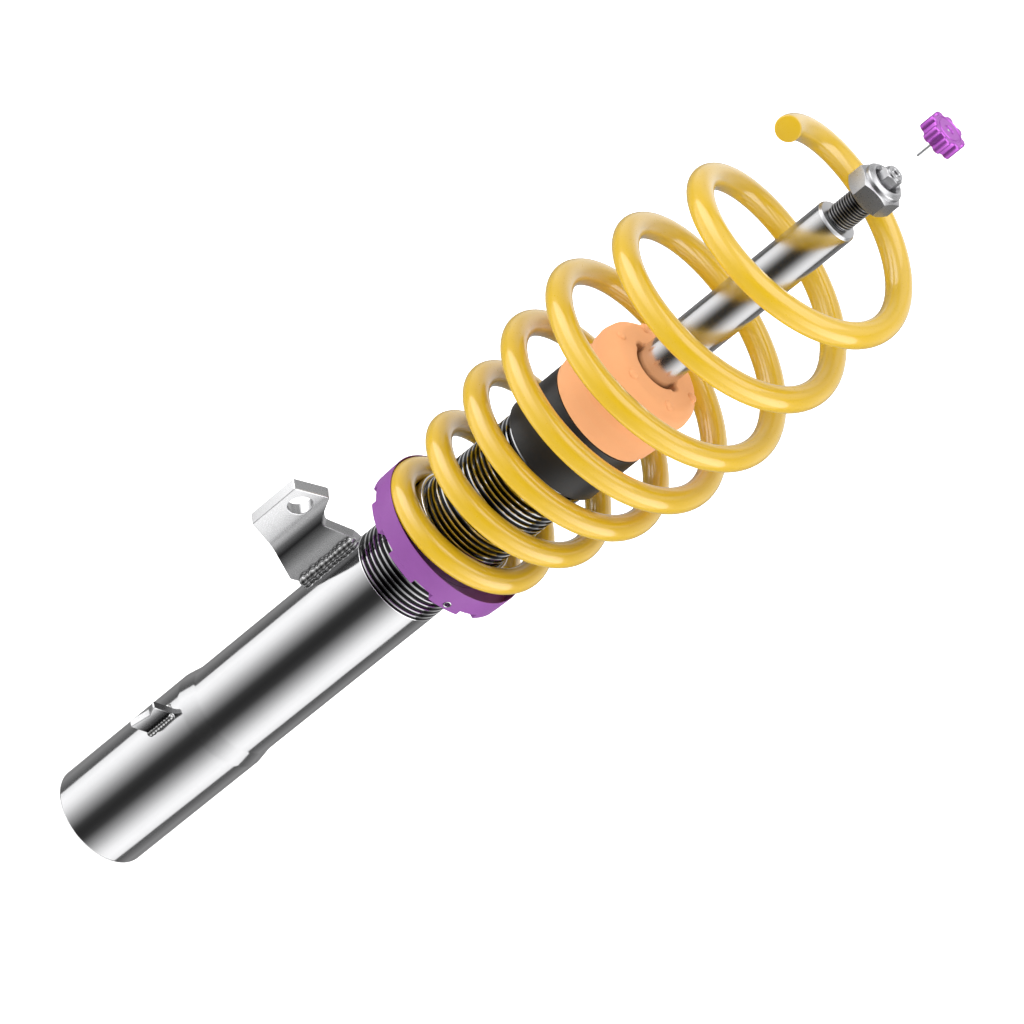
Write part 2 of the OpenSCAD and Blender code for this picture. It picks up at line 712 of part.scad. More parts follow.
module perch_collar() color(violet) difference() {
    translate([0, 0, perch_z]) cylinder(r = perch_r, h = lip_top_z - perch_z);
    translate([0, 0, floor_z]) cylinder(r = lip_bore_r, h = lip_h + over);
    translate([0, 0, lip_top_z - flare_h])
        cylinder(r1 = lip_bore_r, r2 = lip_bore_r + lip_flare * (flare_h + over) / flare_h, h = flare_h + over);
    translate([0, 0, perch_z - over]) cylinder(r = insert_hub_r + seated, h = flange_z - perch_z + over);
    translate([0, 0, perch_z - over]) cylinder(r = collar_r + seated, h = lip_top_z - perch_z + 2 * over);
    for (i = [0 : slot_count - 1])
        rotate([0, 0, lobe_angle + (i + 0.5) * 360 / slot_count]) spanner_slot();
    lock_hole(lock_r + seated);
}

// One slot between two lobes: a wedge outside the hub, below the flange
module spanner_slot() {
    reach = perch_r + 5;
    translate([0, 0, perch_z - over]) linear_extrude(height = lobe_drop + over)
        difference() {
            polygon([[0, 0], [reach, reach * tan(slot_angle / 2)], [reach, -reach * tan(slot_angle / 2)]]);
            circle(r = hub_r);
        }
}

// Radial hole through the lobe beside the front one
module lock_hole(r) {
    rotate([0, 0, lobe_angle + 360 / slot_count])
        translate([0, 0, lock_z]) rotate([0, 90, 0]) cylinder(r = r, h = perch_r + over);
}

module perch_insert() color(chrome_grey) difference() {
    union() {
        translate([0, 0, perch_z]) cylinder(r = insert_hub_r, h = lobe_drop);
        translate([0, 0, perch_z]) cylinder(r = collar_r, h = collar_top_z - perch_z);
    }
    translate([0, 0, perch_z - over]) cylinder(r = insert_bore_r, h = collar_top_z - perch_z + 2 * over);
    lock_hole(lock_r + seated);
}

module perch_lock_screw() color("dimgray")
    rotate([0, 0, lobe_angle + 360 / slot_count])
        translate([body_r + running, 0, lock_z]) rotate([0, 90, 0])
            difference() {
                cylinder(r = lock_r, h = perch_r - body_r - lock_sunk);
                translate([0, 0, perch_r - body_r - lock_sunk - socket_t])
                    cylinder(r = lock_r / 2, h = socket_t + over, $fn = 6);
            }

// ---- bump stop and dust tube ----

module bump_stop() color("sandybrown") difference() {
    union() {
        rotate_extrude() {
            bulge = (bump_h - 1) / 4;
            polygon([[0, bump_z], [dust_r, bump_z], [bump_r, bump_z + bulge],
                     [bump_waist_r, bump_z + 2 * bulge], [bump_waist_r, bump_top_z - bulge],
                     [bump_r - bulge, bump_top_z], [0, bump_top_z]]);
            for (z = [bump_z + bulge, bump_top_z - bulge])
                translate([bump_r - bulge, z]) circle(r = bulge);
        }
        translate([0, 0, bump_z - bump_spigot]) cylinder(r = dust_bore_r - seated, h = bump_spigot + over);
    }
    translate([0, 0, bump_z - bump_spigot - over])
        cylinder(r = bump_bore_r, h = bump_h + bump_spigot + 2 * over);
}

module dust_tube() color("dimgray")
    translate([0, 0, dust_z]) ring(dust_r, dust_bore_r, dust_len);

strut_tube();
foot_cap();
locating_lug();
lug_weld();
link_bracket();
bracket_weld();
pressure_tube();
foot_valve();
foot_valve_shims();
foot_valve_bolt();
rod_guide();
guide_bush();
rod_seal();
gland_nut();
wiper_ring();
piston_rod();
piston();
piston_band();
piston_shims();
piston_nut();
rebound_sleeve();
rebound_bumper();
top_nut();
adjuster_rod();
adjuster_seal();
detent_spring();
detent_balls();
knob();
knob_pin();
coil_spring();
perch_collar();
perch_insert();
perch_lock_screw();
bump_stop();
dust_tube();
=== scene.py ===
import json
import math
import bmesh
import bpy
from mathutils import Matrix, Vector


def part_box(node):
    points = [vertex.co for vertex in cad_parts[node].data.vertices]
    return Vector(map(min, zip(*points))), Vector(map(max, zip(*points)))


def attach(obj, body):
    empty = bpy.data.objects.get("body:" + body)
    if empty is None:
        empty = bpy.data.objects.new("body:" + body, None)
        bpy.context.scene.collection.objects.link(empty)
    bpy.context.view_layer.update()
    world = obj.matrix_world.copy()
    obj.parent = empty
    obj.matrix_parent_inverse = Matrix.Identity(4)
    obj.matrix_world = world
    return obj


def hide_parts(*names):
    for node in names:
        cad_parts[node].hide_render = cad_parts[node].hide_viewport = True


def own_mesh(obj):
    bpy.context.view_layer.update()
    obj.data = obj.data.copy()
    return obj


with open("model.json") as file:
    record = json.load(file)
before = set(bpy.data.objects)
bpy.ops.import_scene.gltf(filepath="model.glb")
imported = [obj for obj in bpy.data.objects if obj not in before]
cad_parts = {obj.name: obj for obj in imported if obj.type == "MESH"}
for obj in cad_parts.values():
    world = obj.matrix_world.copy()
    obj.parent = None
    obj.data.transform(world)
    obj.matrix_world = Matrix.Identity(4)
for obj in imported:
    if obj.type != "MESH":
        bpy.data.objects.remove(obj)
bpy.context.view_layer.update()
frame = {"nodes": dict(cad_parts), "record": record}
nodes = frame["nodes"]
mm = 0.001
print("frame loaded:", len(nodes), "nodes")


def addNode(tree, kind, **settings):
    made = tree.nodes.new(kind)
    for key, value in settings.items():
        setattr(made, key, value)
    return made


def feed(tree, socket, value):
    # value is a number, a vector or another node's output
    if isinstance(value, bpy.types.NodeSocket):
        tree.links.new(value, socket)
    else:
        socket.default_value = value


def calc(tree, operation, *values):
    made = addNode(tree, "ShaderNodeMath", operation=operation)
    for socket, value in zip(made.inputs, values):
        feed(tree, socket, value)
    return made.outputs[0]


def spanned(tree, value, begin, end, low, high, eased=False):
    # value between begin and end becomes low to high, with soft ends when eased
    made = addNode(tree, "ShaderNodeMapRange", interpolation_type="SMOOTHSTEP" if eased else "LINEAR")
    for key, amount in (("From Min", begin), ("From Max", end), ("To Min", low), ("To Max", high)):
        made.inputs[key].default_value = amount
    tree.links.new(value, made.inputs["Value"])
    return made.outputs["Result"]


def splitAxes(tree, vector):
    made = addNode(tree, "ShaderNodeSeparateXYZ")
    tree.links.new(vector, made.inputs["Vector"])
    return made.outputs


def joinAxes(tree, x=0.0, y=0.0, z=0.0):
    made = addNode(tree, "ShaderNodeCombineXYZ")
    for socket, value in zip(made.inputs, (x, y, z)):
        feed(tree, socket, value)
    return made.outputs["Vector"]


def levelLength(tree, x, y):
    return calc(tree, "SQRT", calc(tree, "ADD", calc(tree, "MULTIPLY", x, x), calc(tree, "MULTIPLY", y, y)))


def noisePattern(tree, place, scale, detail, roughness=0.5):
    made = addNode(tree, "ShaderNodeTexNoise")
    for key, value in (("Scale", scale), ("Detail", detail), ("Roughness", roughness)):
        made.inputs[key].default_value = value
    tree.links.new(place, made.inputs["Vector"])
    return made.outputs["Fac"]


def blendTones(tree, factor, low, high):
    made = addNode(tree, "ShaderNodeMix", data_type="RGBA")
    feed(tree, made.inputs["Factor"], factor)
    feed(tree, made.inputs[6], low if isinstance(low, bpy.types.NodeSocket) else (*low, 1))
    feed(tree, made.inputs[7], high if isinstance(high, bpy.types.NodeSocket) else (*high, 1))
    return made.outputs[2]


# how much of its tone steel keeps at each distance from the strut's axis in mm, above a height and below it:
# painted shade darkens the bend of the bracket and the foot of the lug; the thread grooves get painted shade
# and oil
# painted shade at the bracket's bend and at the lug's foot
plateShade = {"height": 130, "near": 25, "far": 71,
              "above": [(25, 0.60), (30, 0.78), (35, 0.70), (40, 0.26), (44.5, 0.02), (48, 0.16),
                        (51.5, 0.62), (55, 1.0), (71, 1.0)],
              "below": [(25, 0.02), (29.5, 0.05), (32, 0.16), (34.5, 0.40), (37.5, 0.85), (39, 1.0)]}
# painted shade and oil in the tube's thread grooves, darkest at the root
grooveShadeAndOil = {"height": 222.5, "near": 24.7, "far": 25.9,
               "above": [(24.7, 0.015), (25.25, 0.03), (25.5, 0.12), (25.68, 0.85), (25.9, 1.0)],
               "below": [(24.7, 1.0), (25.9, 1.0)]}
# painted shade and oil in the stud's thread grooves
studGrooveShadeAndOil = {"height": 517.6, "near": 5.8, "far": 7.0,
             "above": [(5.8, 1.0), (6.1, 0.03), (6.5, 0.08), (6.8, 0.9), (7.0, 1.0)],
             "below": [(5.8, 1.0), (7.0, 1.0)]}

stains = {"finer": 3.1, "detail": 8, "roughness": 0.7, "from": 0.52, "full": 0.80, "keep": 0.35}
# the tone of the painted shade and oil
shadeAndOilTone = (0.012, 0.012, 0.013)
# the tone of the painted shade on faces that look along the strut
endShadeTone = (0.02, 0.02, 0.021)

# shade: how far the tone wanders; patch and grain: patterns per metre; stretch: along x, y, z
finishes = {
    "chrome_tube": dict(tone=(0.80, 0.80, 0.81), shade=0.03, metal=1, rough=0.11, spread=0.03,
                        patch=25, grain=2600, stretch=(1, 1, 0.02), bump=0.05, dirt=0.05,
                        shadeAndOil=grooveShadeAndOil),
    "weld_steel": dict(tone=(0.40, 0.40, 0.40), shade=0.30, metal=1, rough=0.24, spread=0.10,
                       patch=420, grain=2500, bump=0.30, dirt=0.45),
    "bracket_steel": dict(tone=(0.88, 0.88, 0.89), shade=0.05, metal=1, rough=0.30, spread=0.06,
                          patch=90, grain=1600, bump=0.10, dirt=0.10, ends=(0.62, 0.94), shadeAndOil=plateShade),
    "inner_steel": dict(tone=(0.56, 0.57, 0.58), shade=0.05, metal=1, rough=0.30, spread=0.06,
                        patch=120, grain=3500, stretch=(0.02, 0.02, 1), bump=0.10, dirt=0.12),
    "shim_steel": dict(tone=(0.66, 0.67, 0.68), shade=0.04, metal=1, rough=0.24, spread=0.05,
                       patch=150, grain=3000, stretch=(0.05, 0.05, 1), bump=0.06, dirt=0.05),
    "cast_guide": dict(tone=(0.62, 0.62, 0.64), shade=0.07, metal=1, rough=0.42, spread=0.08,
                       patch=200, grain=2200, bump=0.16, dirt=0.15),
    "bush_bronze": dict(tone=(0.58, 0.40, 0.20), shade=0.08, metal=1, rough=0.38, spread=0.07,
                        patch=200, grain=2600, bump=0.10, dirt=0.18),
    "seal_rubber": dict(tone=(0.025, 0.025, 0.028), shade=0.30, metal=0, rough=0.55, spread=0.10,
                        patch=160, grain=2400, bump=0.12, dirt=0.0),
    "band_ptfe": dict(tone=(0.14, 0.10, 0.07), shade=0.20, metal=0, rough=0.45, spread=0.08,
                      patch=240, grain=2600, bump=0.08, dirt=0.0),
    "chrome_rod": dict(tone=(0.66, 0.66, 0.67), shade=0.02, metal=1, rough=0.18, spread=0.03,
                       patch=40, grain=4200, stretch=(0.02, 0.02, 1), bump=0.03, dirt=0.03,
                       above=(516.1, (0.46, 0.46, 0.47), 0.30), shadeAndOil=studGrooveShadeAndOil),
    "nut_steel": dict(tone=(0.47, 0.47, 0.48), shade=0.07, metal=1, rough=0.32, spread=0.07,
                      patch=180, grain=2400, bump=0.12, dirt=0.15),
    "spring_paint": dict(tone=(0.58, 0.365, 0.008), shade=0.04, metal=0, rough=0.30, spread=0.03,
                         patch=45, grain=1400, bump=0.02, dirt=0.0, coat=0.9),
    "perch_violet": dict(tone=(0.205, 0.048, 0.255), shade=0.10, metal=0, rough=0.46, spread=0.07,
                         patch=110, grain=2300, bump=0.10, dirt=0.0),
    "insert_steel": dict(tone=(0.72, 0.72, 0.73), shade=0.04, metal=1, rough=0.20, spread=0.05,
                         patch=120, grain=3600, stretch=(0.03, 0.03, 1), bump=0.06, dirt=0.06),
    "screw_steel": dict(tone=(0.45, 0.45, 0.46), shade=0.06, metal=1, rough=0.22, spread=0.06,
                        patch=300, grain=3800, bump=0.08, dirt=0.10),
    "bump_foam": dict(tone=(0.84, 0.41, 0.19), shade=0.06, metal=0, rough=0.72, spread=0.08,
                      patch=70, grain=1500, bump=0.22, dirt=0.0),
    "dust_black": dict(tone=(0.014, 0.014, 0.015), shade=0.22, metal=0, rough=0.36, spread=0.07,
                       patch=80, grain=1900, bump=0.08, dirt=0.0),
    "knob_anodised": dict(tone=(0.42, 0.10, 0.50), shade=0.10, metal=0.75, rough=0.32, spread=0.05,
                          patch=260, grain=4000, stretch=(1, 1, 0.05), bump=0.05, dirt=0.04),
}


def toneRamp(tree, value, spots, low=0.0, high=1.0):
    # a smooth scale of greys; spots gives the grey at each value between low and high
    ramp = addNode(tree, "ShaderNodeValToRGB")
    bar = ramp.color_ramp
    while len(bar.elements) < len(spots):
        bar.elements.new(0.5)
    for element, (at, grey) in zip(bar.elements, spots):
        element.position = (at - low) / (high - low)
        element.color = (grey, grey, grey, 1)
    spread = calc(tree, "DIVIDE", calc(tree, "SUBTRACT", value, low), high - low)
    tree.links.new(spread, ramp.inputs["Fac"])
    return ramp.outputs["Color"]


def shadeAndOilKept(tree, place, facts):
    # the share of its tone that steel keeps at each place, from a dictionary of painted shade and oil
    x, y, z = splitAxes(tree, place)
    away = calc(tree, "DIVIDE", levelLength(tree, x, y), mm)
    high = toneRamp(tree, away, facts["above"], facts["near"], facts["far"])
    low = toneRamp(tree, away, facts["below"], facts["near"], facts["far"])
    return blendTones(tree, calc(tree, "GREATER_THAN", z, facts["height"] * mm), low, high)


def makeFinish(name, tone, shade, metal, rough, spread, patch, grain, bump, dirt,
               stretch=(1, 1, 1), coat=0.0, ends=None, shadeAndOil=None, above=None):
    made = bpy.data.materials.new(name)
    made.use_nodes = True
    tree = made.node_tree
    shader = tree.nodes["Principled BSDF"]
    place = addNode(tree, "ShaderNodeTexCoord").outputs["Object"]
    height = splitAxes(tree, place)["Z"]
    drawn = addNode(tree, "ShaderNodeMapping")
    drawn.inputs["Scale"].default_value = stretch
    tree.links.new(place, drawn.inputs["Vector"])
    cloud = noisePattern(tree, place, patch, 5)
    fine = noisePattern(tree, drawn.outputs["Vector"], grain, 3)
    dark = [c * (1 - shade) for c in tone]
    light = [min(c * (1 + shade), 1) for c in tone]
    colour = blendTones(tree, cloud, dark, light)
    if dirt:
        # handling marks: scattered darker spots
        spots = noisePattern(tree, place, patch * stains["finer"], stains["detail"], stains["roughness"])
        amount = spanned(tree, spots, stains["from"], stains["full"], 0.0, dirt)
        colour = blendTones(tree, amount, colour, [c * stains["keep"] for c in tone])
    dull = spanned(tree, fine, 0.3, 0.7, rough - spread, rough + spread)
    if above:
        # another finish above a height: its tone and its roughness
        startAt, upperTone, upperRough = above
        upper = calc(tree, "GREATER_THAN", height, startAt * mm)
        colour = blendTones(tree, upper, colour, upperTone)
        dull = calc(tree, "ADD", dull, calc(tree, "MULTIPLY", upper, upperRough - rough))
    # painted shade by distance from the axis, with oil in thread grooves
    if shadeAndOil:
        kept = shadeAndOilKept(tree, place, shadeAndOil)
    if ends:
        # faces that look along the strut get an even painted shade: how much above the height and below it
        normal = addNode(tree, "ShaderNodeNewGeometry").outputs["Normal"]
        endOn = spanned(tree, calc(tree, "ABSOLUTE", splitAxes(tree, normal)["Z"]), 0.2, 0.8, 0.0, 1.0)
        kept = calc(tree, "MAXIMUM", kept, endOn)
    # painted shade and oil darken the tone
    if shadeAndOil:
        colour = blendTones(tree, kept, shadeAndOilTone, colour)
    # painted shade on faces that look along the strut
    if ends:
        high = calc(tree, "GREATER_THAN", height, shadeAndOil["height"] * mm)
        most = calc(tree, "MULTIPLY_ADD", high, ends[0] - ends[1], ends[1])
        colour = blendTones(tree, calc(tree, "MULTIPLY", endOn, most), colour, endShadeTone)
    tree.links.new(colour, shader.inputs["Base Color"])
    tree.links.new(dull, shader.inputs["Roughness"])
    relief = addNode(tree, "ShaderNodeBump")
    relief.inputs["Strength"].default_value = bump
    relief.inputs["Distance"].default_value = 0.05 * mm
    tree.links.new(fine, relief.inputs["Height"])
    tree.links.new(relief.outputs["Normal"], shader.inputs["Normal"])
    shader.inputs["Metallic"].default_value = metal
    shader.inputs["Coat Weight"].default_value = coat
    shader.inputs["Coat Roughness"].default_value = 0.08
    return made


materials = {name: makeFinish(name, **facts) for name, facts in finishes.items()}
for part in frame["record"]["subparts"]:
    owned = nodes[part["node"]].data.materials
    owned.clear()
    owned.append(materials[part["material_slot"]])
print("finishes made:", len(materials))


# sizes below are in millimetres, angles in degrees
onAxis = 0.001  # a radius so small that its points merge


def turned(radius, degrees, height):
    a = math.radians(degrees)
    return Vector((radius * math.cos(a), radius * math.sin(a), height))


def plain(loop):
    # the same outline at every angle, for lathe
    return lambda angle: loop


def finishMesh(mesh, sharp=32, weld=True):
    work = bmesh.new()
    work.from_mesh(mesh)
    if weld:
        bmesh.ops.remove_doubles(work, verts=work.verts, dist=0.0005 * mm)
        bmesh.ops.dissolve_degenerate(work, edges=work.edges, dist=0.0005 * mm)
    bmesh.ops.recalc_face_normals(work, faces=work.faces)
    work.to_mesh(mesh)
    work.free()
    mesh.shade_smooth()
    mesh.set_sharp_from_angle(angle=math.radians(sharp))
    return mesh


def soften(points, radius, steps=4):
    # rounds the corners of an outline; radius is one number or one for each corner
    count = len(points)
    radii = radius if isinstance(radius, (list, tuple)) else [radius] * count
    out = []
    for i, (p, r) in enumerate(zip(points, radii)):
        here = Vector(p)
        if r <= 0:
            out.append(tuple(here))
            continue
        back = Vector(points[i - 1]) - here
        ahead = Vector(points[(i + 1) % count]) - here
        half = back.angle(ahead) / 2
        reach = min(r / math.tan(half), back.length * 0.45, ahead.length * 0.45)
        a, b = here + back.normalized() * reach, here + ahead.normalized() * reach
        for k in range(steps + 1):
            t = k / steps
            out.append(tuple(a * (1 - t) ** 2 + here * 2 * t * (1 - t) + b * t ** 2))
    return out


def lathe(name, loopAt, steps=144):
    # turns a closed outline of (radius, height) round z; loopAt gives the outline at each angle
    verts, faces = [], []
    loops = [loopAt(360 * k / steps) for k in range(steps)]
    size = len(loops[0])
    for k, loop in enumerate(loops):
        a = math.radians(360 * k / steps)
        verts += [(r * math.cos(a) * mm, r * math.sin(a) * mm, z * mm) for r, z in loop]
    for k in range(steps):
        for i in range(size):
            j, n = (i + 1) % size, (k + 1) % steps
            faces.append((k * size + i, n * size + i, n * size + j, k * size + j))
    mesh = bpy.data.meshes.new(name)
    mesh.from_pydata(verts, [], faces)
    return mesh


def outlinePlate(name, outline, thick, holes=(), edge=0.3):
    # a plate standing in the xz plane, its front face at y = 0 and its back at y = thick
    work = bmesh.new()
    edges = []
    for loop in (outline, *holes):
        ring = [work.verts.new((x * mm, 0, z * mm)) for x, z in loop]
        edges += [work.edges.new((ring[i - 1], ring[i])) for i in range(len(ring))]
    bmesh.ops.triangle_fill(work, use_beauty=True, edges=edges)
    bmesh.ops.dissolve_limit(work, angle_limit=0.01, verts=work.verts, edges=work.edges)
    pulled = bmesh.ops.extrude_face_region(work, geom=list(work.faces))
    bmesh.ops.translate(work, vec=(0, thick * mm, 0),
                        verts=[v for v in pulled["geom"] if isinstance(v, bmesh.types.BMVert)])
    bmesh.ops.recalc_face_normals(work, faces=work.faces)
    if edge:
        rim = [e for e in work.edges if len(e.link_faces) == 2
               and e.calc_face_angle(0) > math.radians(50)
               and abs(e.verts[0].co.y - e.verts[1].co.y) < 1e-7]
        bmesh.ops.bevel(work, geom=rim, offset=edge * mm, segments=3, profile=0.5,
                        affect="EDGES", clamp_overlap=True)
    mesh = bpy.data.meshes.new(name)
    work.to_mesh(mesh)
    work.free()
    return mesh


def joinMeshes(name, meshes):
    work = bmesh.new()
    for mesh in meshes:
        work.from_mesh(mesh)
    made = bpy.data.meshes.new(name)
    work.to_mesh(made)
    work.free()
    return made


def drilled(mesh, cutter):
    # the mesh with the cutter's shape taken out
    finishMesh(mesh)
    finishMesh(cutter)
    holder = bpy.data.objects.new("drillHolder", mesh)
    drill = bpy.data.objects.new("drill", cutter)
    for item in (holder, drill):
        bpy.context.scene.collection.objects.link(item)
    cut = holder.modifiers.new("Cut", "BOOLEAN")
    cut.operation, cut.solver, cut.object = "DIFFERENCE", "EXACT", drill
    graph = bpy.context.evaluated_depsgraph_get()
    made = bpy.data.meshes.new_from_object(holder.evaluated_get(graph), depsgraph=graph)
    holder.modifiers.remove(cut)
    for item in (holder, drill):
        bpy.data.objects.remove(item)
    return made


def setPiece(name, mesh, slot, body, *replaced, sharp=32, weld=True):
    finishMesh(mesh, sharp, weld)
    mesh.materials.clear()
    mesh.materials.append(materials[slot])
    for face in mesh.polygons:
        face.material_index = 0
    piece = bpy.data.objects.new(name, mesh)
    bpy.context.scene.collection.objects.link(piece)
    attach(piece, body)
    if replaced:
        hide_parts(*replaced)
    return piece


def newTree(name, sizes):
    # sizes gives each input's name and its first value; whole numbers make whole-number inputs
    tree = bpy.data.node_groups.new(name, "GeometryNodeTree")
    tree.interface.new_socket("Geometry", in_out="INPUT", socket_type="NodeSocketGeometry")
    for key, value in sizes.items():
        kind = ("NodeSocketInt" if isinstance(value, int) else
                "NodeSocketVector" if isinstance(value, tuple) else "NodeSocketFloat")
        made = tree.interface.new_socket(key, in_out="INPUT", socket_type=kind)
        made.default_value = value
    tree.interface.new_socket("Finish", in_out="INPUT", socket_type="NodeSocketMaterial")
    tree.interface.new_socket("Geometry", in_out="OUTPUT", socket_type="NodeSocketGeometry")
    start = addNode(tree, "NodeGroupInput")
    return tree, {s.name: s for s in start.outputs if s.name}


def endTree(tree, geometry, given):
    real = addNode(tree, "GeometryNodeRealizeInstances")
    painted = addNode(tree, "GeometryNodeSetMaterial")
    end = addNode(tree, "NodeGroupOutput")
    tree.links.new(geometry, real.inputs["Geometry"])
    tree.links.new(real.outputs["Geometry"], painted.inputs["Geometry"])
    tree.links.new(given["Finish"], painted.inputs["Material"])
    tree.links.new(painted.outputs["Geometry"], end.inputs["Geometry"])


def grow(name, tree, **values):
    holder = bpy.data.objects.new(name + "Holder", bpy.data.meshes.new(name + "Holder"))
    bpy.context.scene.collection.objects.link(holder)
    nodesOn = holder.modifiers.new("Nodes", "NODES")
    nodesOn.node_group = tree
    for item in tree.interface.items_tree:
        if item.item_type == "SOCKET" and item.in_out == "INPUT" and item.name in values:
            nodesOn[item.identifier] = values[item.name]
    graph = bpy.context.evaluated_depsgraph_get()
    mesh = bpy.data.meshes.new_from_object(holder.evaluated_get(graph), depsgraph=graph)
    mesh.name = name
    holder.modifiers.remove(nodesOn)
    bpy.data.objects.remove(holder)
    return mesh


def polarPoint(tree, radius, turns, height):
    # a point at that radius and number of turns, right-handed, starting on -X
    angle = calc(tree, "MULTIPLY", turns, 2 * math.pi)
    along, across = (calc(tree, "MULTIPLY", radius, calc(tree, "MULTIPLY", calc(tree, part, angle), -1.0))
                     for part in ("COSINE", "SINE"))
    return joinAxes(tree, along, across, height)


def windingPath(tree, count):
    # a line of that many points, ready to be laid out by its factor from 0 to 1
    line = addNode(tree, "GeometryNodeCurvePrimitiveLine")
    fine = addNode(tree, "GeometryNodeResampleCurve")
    tree.links.new(line.outputs["Curve"], fine.inputs["Curve"])
    feed(tree, fine.inputs["Count"], count)
    factor = addNode(tree, "GeometryNodeSplineParameter").outputs["Factor"]
    return fine.outputs["Curve"], factor


ridgeSizes = {"Core": 24.8 * mm, "Depth": 1.0 * mm, "Pitch": 3.0 * mm, "Start": 0.0, "Turns": 10.0,
              "Root": 2.3 * mm, "Land": 1.1 * mm, "Points": 600}
ridgeTurn = math.radians(-90)  # the wide side of the ridge lies on the core


def threadTree():
    tree, given = newTree("threadRidge", ridgeSizes)
    path, factor = windingPath(tree, given["Points"])
    turns = calc(tree, "MULTIPLY", factor, given["Turns"])
    height = calc(tree, "ADD", given["Start"], calc(tree, "MULTIPLY", turns, given["Pitch"]))
    # the ridge rises out of the core over the first eighth of a turn and sinks back over the last
    toEnd = calc(tree, "SUBTRACT", given["Turns"], turns)
    near = calc(tree, "MINIMUM", calc(tree, "MULTIPLY", calc(tree, "MINIMUM", turns, toEnd), 8.0), 1.0)
    lift = calc(tree, "MULTIPLY", calc(tree, "SUBTRACT", near, 0.65), given["Depth"])
    radius = calc(tree, "ADD", given["Core"], lift)
    laid = addNode(tree, "GeometryNodeSetPosition")
    tree.links.new(path, laid.inputs["Geometry"])
    tree.links.new(polarPoint(tree, radius, turns, height), laid.inputs["Position"])
    upright = addNode(tree, "GeometryNodeSetCurveNormal")
    upright.mode = "Z_UP"
    tree.links.new(laid.outputs["Geometry"], upright.inputs["Curve"])
    shape = addNode(tree, "GeometryNodeCurvePrimitiveQuadrilateral")
    shape.mode = "TRAPEZOID"
    feed(tree, shape.inputs["Height"], calc(tree, "MULTIPLY", given["Depth"], 1.3))
    feed(tree, shape.inputs["Bottom Width"], given["Root"])
    feed(tree, shape.inputs["Top Width"], given["Land"])
    shape.inputs["Offset"].default_value = 0
    turnedShape = addNode(tree, "GeometryNodeTransform")
    turnedShape.inputs["Rotation"].default_value = (0, 0, ridgeTurn)
    tree.links.new(shape.outputs["Curve"], turnedShape.inputs["Geometry"])
    swept = addNode(tree, "GeometryNodeCurveToMesh")
    swept.inputs["Fill Caps"].default_value = True
    tree.links.new(upright.outputs["Curve"], swept.inputs["Curve"])
    tree.links.new(turnedShape.outputs["Geometry"], swept.inputs["Profile Curve"])
    endTree(tree, swept.outputs["Mesh"], given)
    return tree


springSizes = {"Wire": 6.25 * mm, "Seat Radius": 34.6 * mm, "Lower Growth": 6.3 * mm,
               "Upper Loss": 3.9 * mm, "Waist Turn": 4.0, "Crest Blend": 5.8 * mm, "End Curl": 2.5 * mm,
               "Seat Height": 0.2613, "Pitch": 32.7 * mm, "Open Turn": 3.5, "Open Gain": 5.5 * mm,
               "Seat Turns": 0.45, "Free Turns": 7.0, "Lift Blend": 0.12, "Points": 720, "Sides": 40}


def springTree():
    tree, given = newTree("springWire", springSizes)

    def times(a, b):
        return calc(tree, "MULTIPLY", a, b)

    def less(a, b):
        return calc(tree, "SUBTRACT", a, b)

    def orZero(a):
        return calc(tree, "MAXIMUM", a, 0.0)

    path, factor = windingPath(tree, given["Points"])
    whole = calc(tree, "ADD", given["Seat Turns"], given["Free Turns"])
    turns = less(times(factor, whole), given["Seat Turns"])
    # radius: two cones joined by a rounded crest, curled in over the last half turn
    growth, seat = given["Lower Growth"], given["Seat Radius"]
    lower = calc(tree, "MULTIPLY_ADD", orZero(turns), growth, seat)
    widest = calc(tree, "MULTIPLY_ADD", given["Waist Turn"], growth, seat)
    upper = less(widest, times(given["Upper Loss"], less(turns, given["Waist Turn"])))
    crest = given["Crest Blend"]
    inside = orZero(less(crest, calc(tree, "ABSOLUTE", less(lower, upper))))
    cut = calc(tree, "DIVIDE", times(inside, inside), times(crest, 4.0))
    curl = times(orZero(less(turns, less(given["Free Turns"], 0.5))), 2.0)
    radius = less(calc(tree, "MINIMUM", lower, upper), cut)
    radius = less(radius, times(given["End Curl"], calc(tree, "POWER", curl, 2.0)))
    # height: on the seat, then climbing, then opening out
    blend = given["Lift Blend"]
    early = orZero(calc(tree, "ADD", turns, blend))
    easing = calc(tree, "DIVIDE", times(early, early), times(blend, 4.0))
    late = calc(tree, "GREATER_THAN", turns, blend)
    climb = calc(tree, "ADD", times(late, turns), times(less(1.0, late), easing))
    opened = calc(tree, "POWER", orZero(less(turns, given["Open Turn"])), 1.5)
    risen = calc(tree, "ADD", times(given["Pitch"], climb), times(given["Open Gain"], opened))
    height = calc(tree, "ADD", given["Seat Height"], risen)
    laid = addNode(tree, "GeometryNodeSetPosition")
    tree.links.new(path, laid.inputs["Geometry"])
    tree.links.new(polarPoint(tree, radius, turns, height), laid.inputs["Position"])
    ring = addNode(tree, "GeometryNodeCurvePrimitiveCircle")
    feed(tree, ring.inputs["Resolution"], given["Sides"])
    feed(tree, ring.inputs["Radius"], given["Wire"])
    swept = addNode(tree, "GeometryNodeCurveToMesh")
    swept.inputs["Fill Caps"].default_value = True
    tree.links.new(laid.outputs["Geometry"], swept.inputs["Curve"])
    tree.links.new(ring.outputs["Curve"], swept.inputs["Profile Curve"])
    endTree(tree, swept.outputs["Mesh"], given)
    return tree


